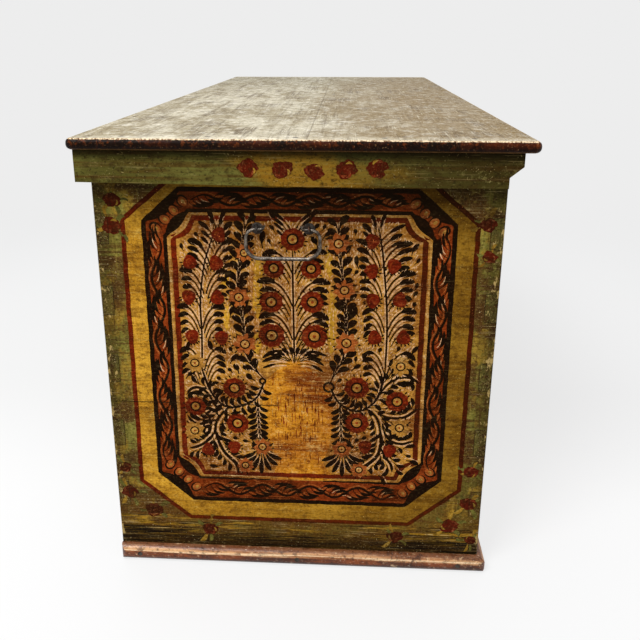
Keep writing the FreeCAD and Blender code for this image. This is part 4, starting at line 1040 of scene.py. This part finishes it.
END_ROSES = ((-248, 572, 13), (-252, 535, 15), (-260, 160, 12), (-257, 117, 16), (-220, 87, 15),
             (-135, 55, 13), (256, 170, 12), (256, 115, 14), (229, 75, 15), (149, 52, 13), (262, 52, 12),
             (252, 545, 13), (258, 500, 11))
END_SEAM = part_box("left_end_plank_lower")[1].z
FRONT_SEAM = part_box("front_plank_lower")[1].z
FOOT_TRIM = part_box("base_moulding_left")[1].z
PANEL_SHIFT = 4.5 * MM      # the painter set the end panel a little off the middle
for face, side in (("left_end", -1), ("right_end", 1)):
    paint_panel(PANEL_SHIFT)
    board = (4 * MM - HALF_DEPTH, HALF_DEPTH - 4 * MM, FOOT_TRIM + 4 * MM, CLEAT_FOOT - 2 * MM)
    for u, v, radius in END_ROSES:
        rough_rose(u * MM, v * MM, radius * MM, board)
    joint_lines(HALF_DEPTH, END_SEAM, 5)
    lay_paint(face, (side * HALF_LENGTH, 0, 0), (0, side, 0), place="ends")

    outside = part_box("lid_cleat_left")[0].x if side < 0 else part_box("lid_cleat_right")[1].x
    bar = (-0.25, 0.25, CLEAT_FOOT + 3 * MM, CLEAT_TOP - 4 * MM)
    for u in (-61, -17, 24, 65, 104):
        rough_rose(u * MM, (619 + hand.uniform(-3, 3)) * MM, hand.uniform(13, 17) * MM, bar, 0)
    lay_paint(f"{face}_cleat", (outside, 0, 0), (0, side, 0), "lid", "cleats")

FRONT_PITCH = 446 * MM
for k in (-1, 0, 1):
    paint_panel(FRONT_PITCH * k, 0.9)
board = (4 * MM - HALF_LENGTH, HALF_LENGTH - 4 * MM, FOOT_TRIM + 4 * MM, WALL_TOP - 4 * MM)
for k in (-1.5, -0.5, 0.5, 1.5):
    for v, radius in ((70, 15), (108, 12), (580, 15), (612, 11)):
        rough_rose(FRONT_PITCH * k, v * MM, radius * MM, board)
joint_lines(HALF_LENGTH, FRONT_SEAM)
lay_paint("front", (0, -HALF_DEPTH, 0), (1, 0, 0))

# Ironwork: handles, hinges, lock, catch and every nail are forged iron, blackened at the forge and
# gone brown. The bails and the key are rubbed lighter by hands and carry a painted highlight on
# their upper side, and all of it is darkened underneath as painted shade.
def forged_iron(name, dark, light, rust, rough, shine, upper_highlight=0.0):
    """Hammered iron: small dents, a dark scale that hands wear off, and brown rust in the hollows.
    The last share lightens its upper side as a painted highlight, and the underside is darkened to
    black as painted shade."""
    material, tree, here = start_material(name)
    dents = mottle(tree, here["Place"], (7, 7, 7), 3.0, 0.6)
    hollows = mottle(tree, here["Place"], (13, 13, 13), 4.0, 0.65)
    # Painted light: the pale upper side is a painted highlight, the black underside painted shade.
    colour = layers(tree, here, dark, (light, dents, 0.40, 0.62), (rust, hollows, 0.52, 0.66, 0.8),
                    ("#0d0906", "Grit", 0.48, 0.28, 0.8), ("#ece4da", "Up", 0.15, 0.8, upper_highlight),
                    ("#17110c", "Up", 0.1, -0.6, 0.85))
    gloss = add(tree, "MapRange", {0: dents, 1: 0.35, 2: 0.65, 3: rough + 0.15, 4: rough})
    finish_material(tree, colour, gloss, total(tree, (dents, 1.0), (here["Grit"], 1.0)), 0.0008, shine)
    return material


black_iron = forged_iron("blackened_forged_iron", "#2a2521", "#4d4741", "#4a2d19", 0.45, 0.75)
highlit_worn_iron = forged_iron("worn_forged_iron_with_painted_highlight", "#3a332c", "#7d7368", "#40290f", 0.36, 0.95, 0.14)
for side in ("left", "right"):
    coat([f"{side}_hinge_leaf", f"{side}_hinge_strap", f"{side}_hinge_pin", f"{side}_handle_eyes",
          f"{side}_handle_roses"], black_iron)
    coat([f"{side}_handle_bail"], highlit_worn_iron)
coat(["hinge_leaf_nails", "hinge_strap_nails", "lock_nails", "lock_plate", "lock_case", "lock_bolt",
      "escutcheon", "escutcheon_nails", "catch_nails", "lid_catch", "bottom_nails", "moulding_nails",
      "cleat_nails"], black_iron)
coat(["key"], highlit_worn_iron)

# Till: a narrow box across the left end inside, for small valuables. Its front board and floor are
# thin planed pine let into grooves in the walls, and its lid turns on two wooden pins.
coat(["till_front", "till_floor", "till_lid"],
     bare_wood("planed_pine_till", "#a37a49", "#7c5630", ALONG_Y, 0.0003))

# Room: a pale floor that runs out into a pale background, and soft light from above and behind the
# camera. The camera stands off the chest's left end and looks a little down on it.
BACKDROP = "#ededed"
REACH = 14.0
FADE_START, FADE_END = 0.95, 2.2        # the floor fades out this far from the chest's middle
PAPER_START, PAPER_END = -0.62, -0.05   # its tone turns from near white to the backdrop's, along X
LIFT = 0.8                              # how much of its seen tone is its own, not the lamps'
floor_mesh = bpy.data.meshes.new("floor")
floor_mesh.from_pydata([(-REACH, -REACH, 0), (REACH, -REACH, 0), (REACH, REACH, 0), (-REACH, REACH, 0)], [],
                       [(0, 1, 2, 3)])
floor = put("floor", floor_mesh)
material = bpy.data.materials.new("pale_studio_floor")
tree = empty_tree(material)
place = add(tree, "TexCoord").outputs["Object"]
along = add(tree, "SeparateXYZ", {0: place})
distance = add(tree, "VectorMath", {0: place}, operation="LENGTH").outputs["Value"]
camera_ray = add(tree, "LightPath").outputs["Is Camera Ray"]
matt = add(tree, "BsdfDiffuse", {"Color": linear("#f2f2f2")})
paper = lay(tree, "#f8f8f8", BACKDROP, along, PAPER_START, PAPER_END)
lifted = add(tree, "Emission", {"Color": paper, "Strength": 1.0})
far = add(tree, "Emission", {"Color": linear(BACKDROP), "Strength": 1.0})
lift = add(tree, "Math", {0: camera_ray, 1: LIFT}, operation="MULTIPLY")
near = add(tree, "MixShader", {0: lift, 1: matt, 2: lifted})
fade = add(tree, "MixShader", {0: where(tree, (distance, FADE_START, FADE_END)), 1: near, 2: far})
add(tree, "OutputMaterial", {0: fade})
floor_mesh.materials.append(material)

world = bpy.data.worlds.new("studio")
bpy.context.scene.world = world
tree = empty_tree(world)
rays = add(tree, "LightPath").outputs
seen = rays["Is Camera Ray"]
for ray in ("Is Glossy Ray", "Is Transmission Ray"):
    seen = add(tree, "Math", {0: seen, 1: rays[ray]}, operation="MAXIMUM")
light = add(tree, "Background", {"Color": linear("#f0f2f4"), "Strength": 0.62})
shown = add(tree, "Background", {"Color": linear(BACKDROP), "Strength": 1.0})
sky = add(tree, "MixShader", {0: seen, 1: light, 2: shown})
add(tree, "OutputWorld", {0: sky})


def lamp(name, place, target, size, watts):
    """A square soft box at place, turned to face target."""
    data = bpy.data.lights.new(name, "AREA")
    data.shape = "SQUARE"
    data.size = size
    data.energy = watts
    made = put(name, data)
    made.location = place
    made.rotation_euler = (Vector(target) - Vector(place)).to_track_quat("-Z", "Y").to_euler()


lamp("key_light", (-2.2, 1.1, 2.75), (-0.5, 0, 0.35), 1.2, 84)
lamp("top_light", (0.6, 0.2, 3.0), (0.2, 0, 0.3), 2.4, 45)

FOCAL_PIXELS = 747.6
IMAGE = 640
AXIS_ACROSS, AXIS_DOWN = 303.0, 281.7
CAMERA = Vector((-1.685, -0.0655, 0.780))
YAW, PITCH = math.radians(-3.36), math.radians(18.21)
data = bpy.data.cameras.new("camera")
data.sensor_width = 36
data.lens = FOCAL_PIXELS / IMAGE * data.sensor_width
data.shift_x = (IMAGE / 2 - AXIS_ACROSS) / IMAGE
data.shift_y = -(IMAGE / 2 - AXIS_DOWN) / IMAGE
camera = put("camera", data)
ahead = Vector((math.cos(YAW) * math.cos(PITCH), -math.sin(YAW) * math.cos(PITCH), -math.sin(PITCH)))
camera.location = CAMERA
camera.rotation_euler = ahead.to_track_quat("-Z", "Y").to_euler()
bpy.context.scene.camera = camera
bpy.context.scene.view_settings.view_transform = "Standard"
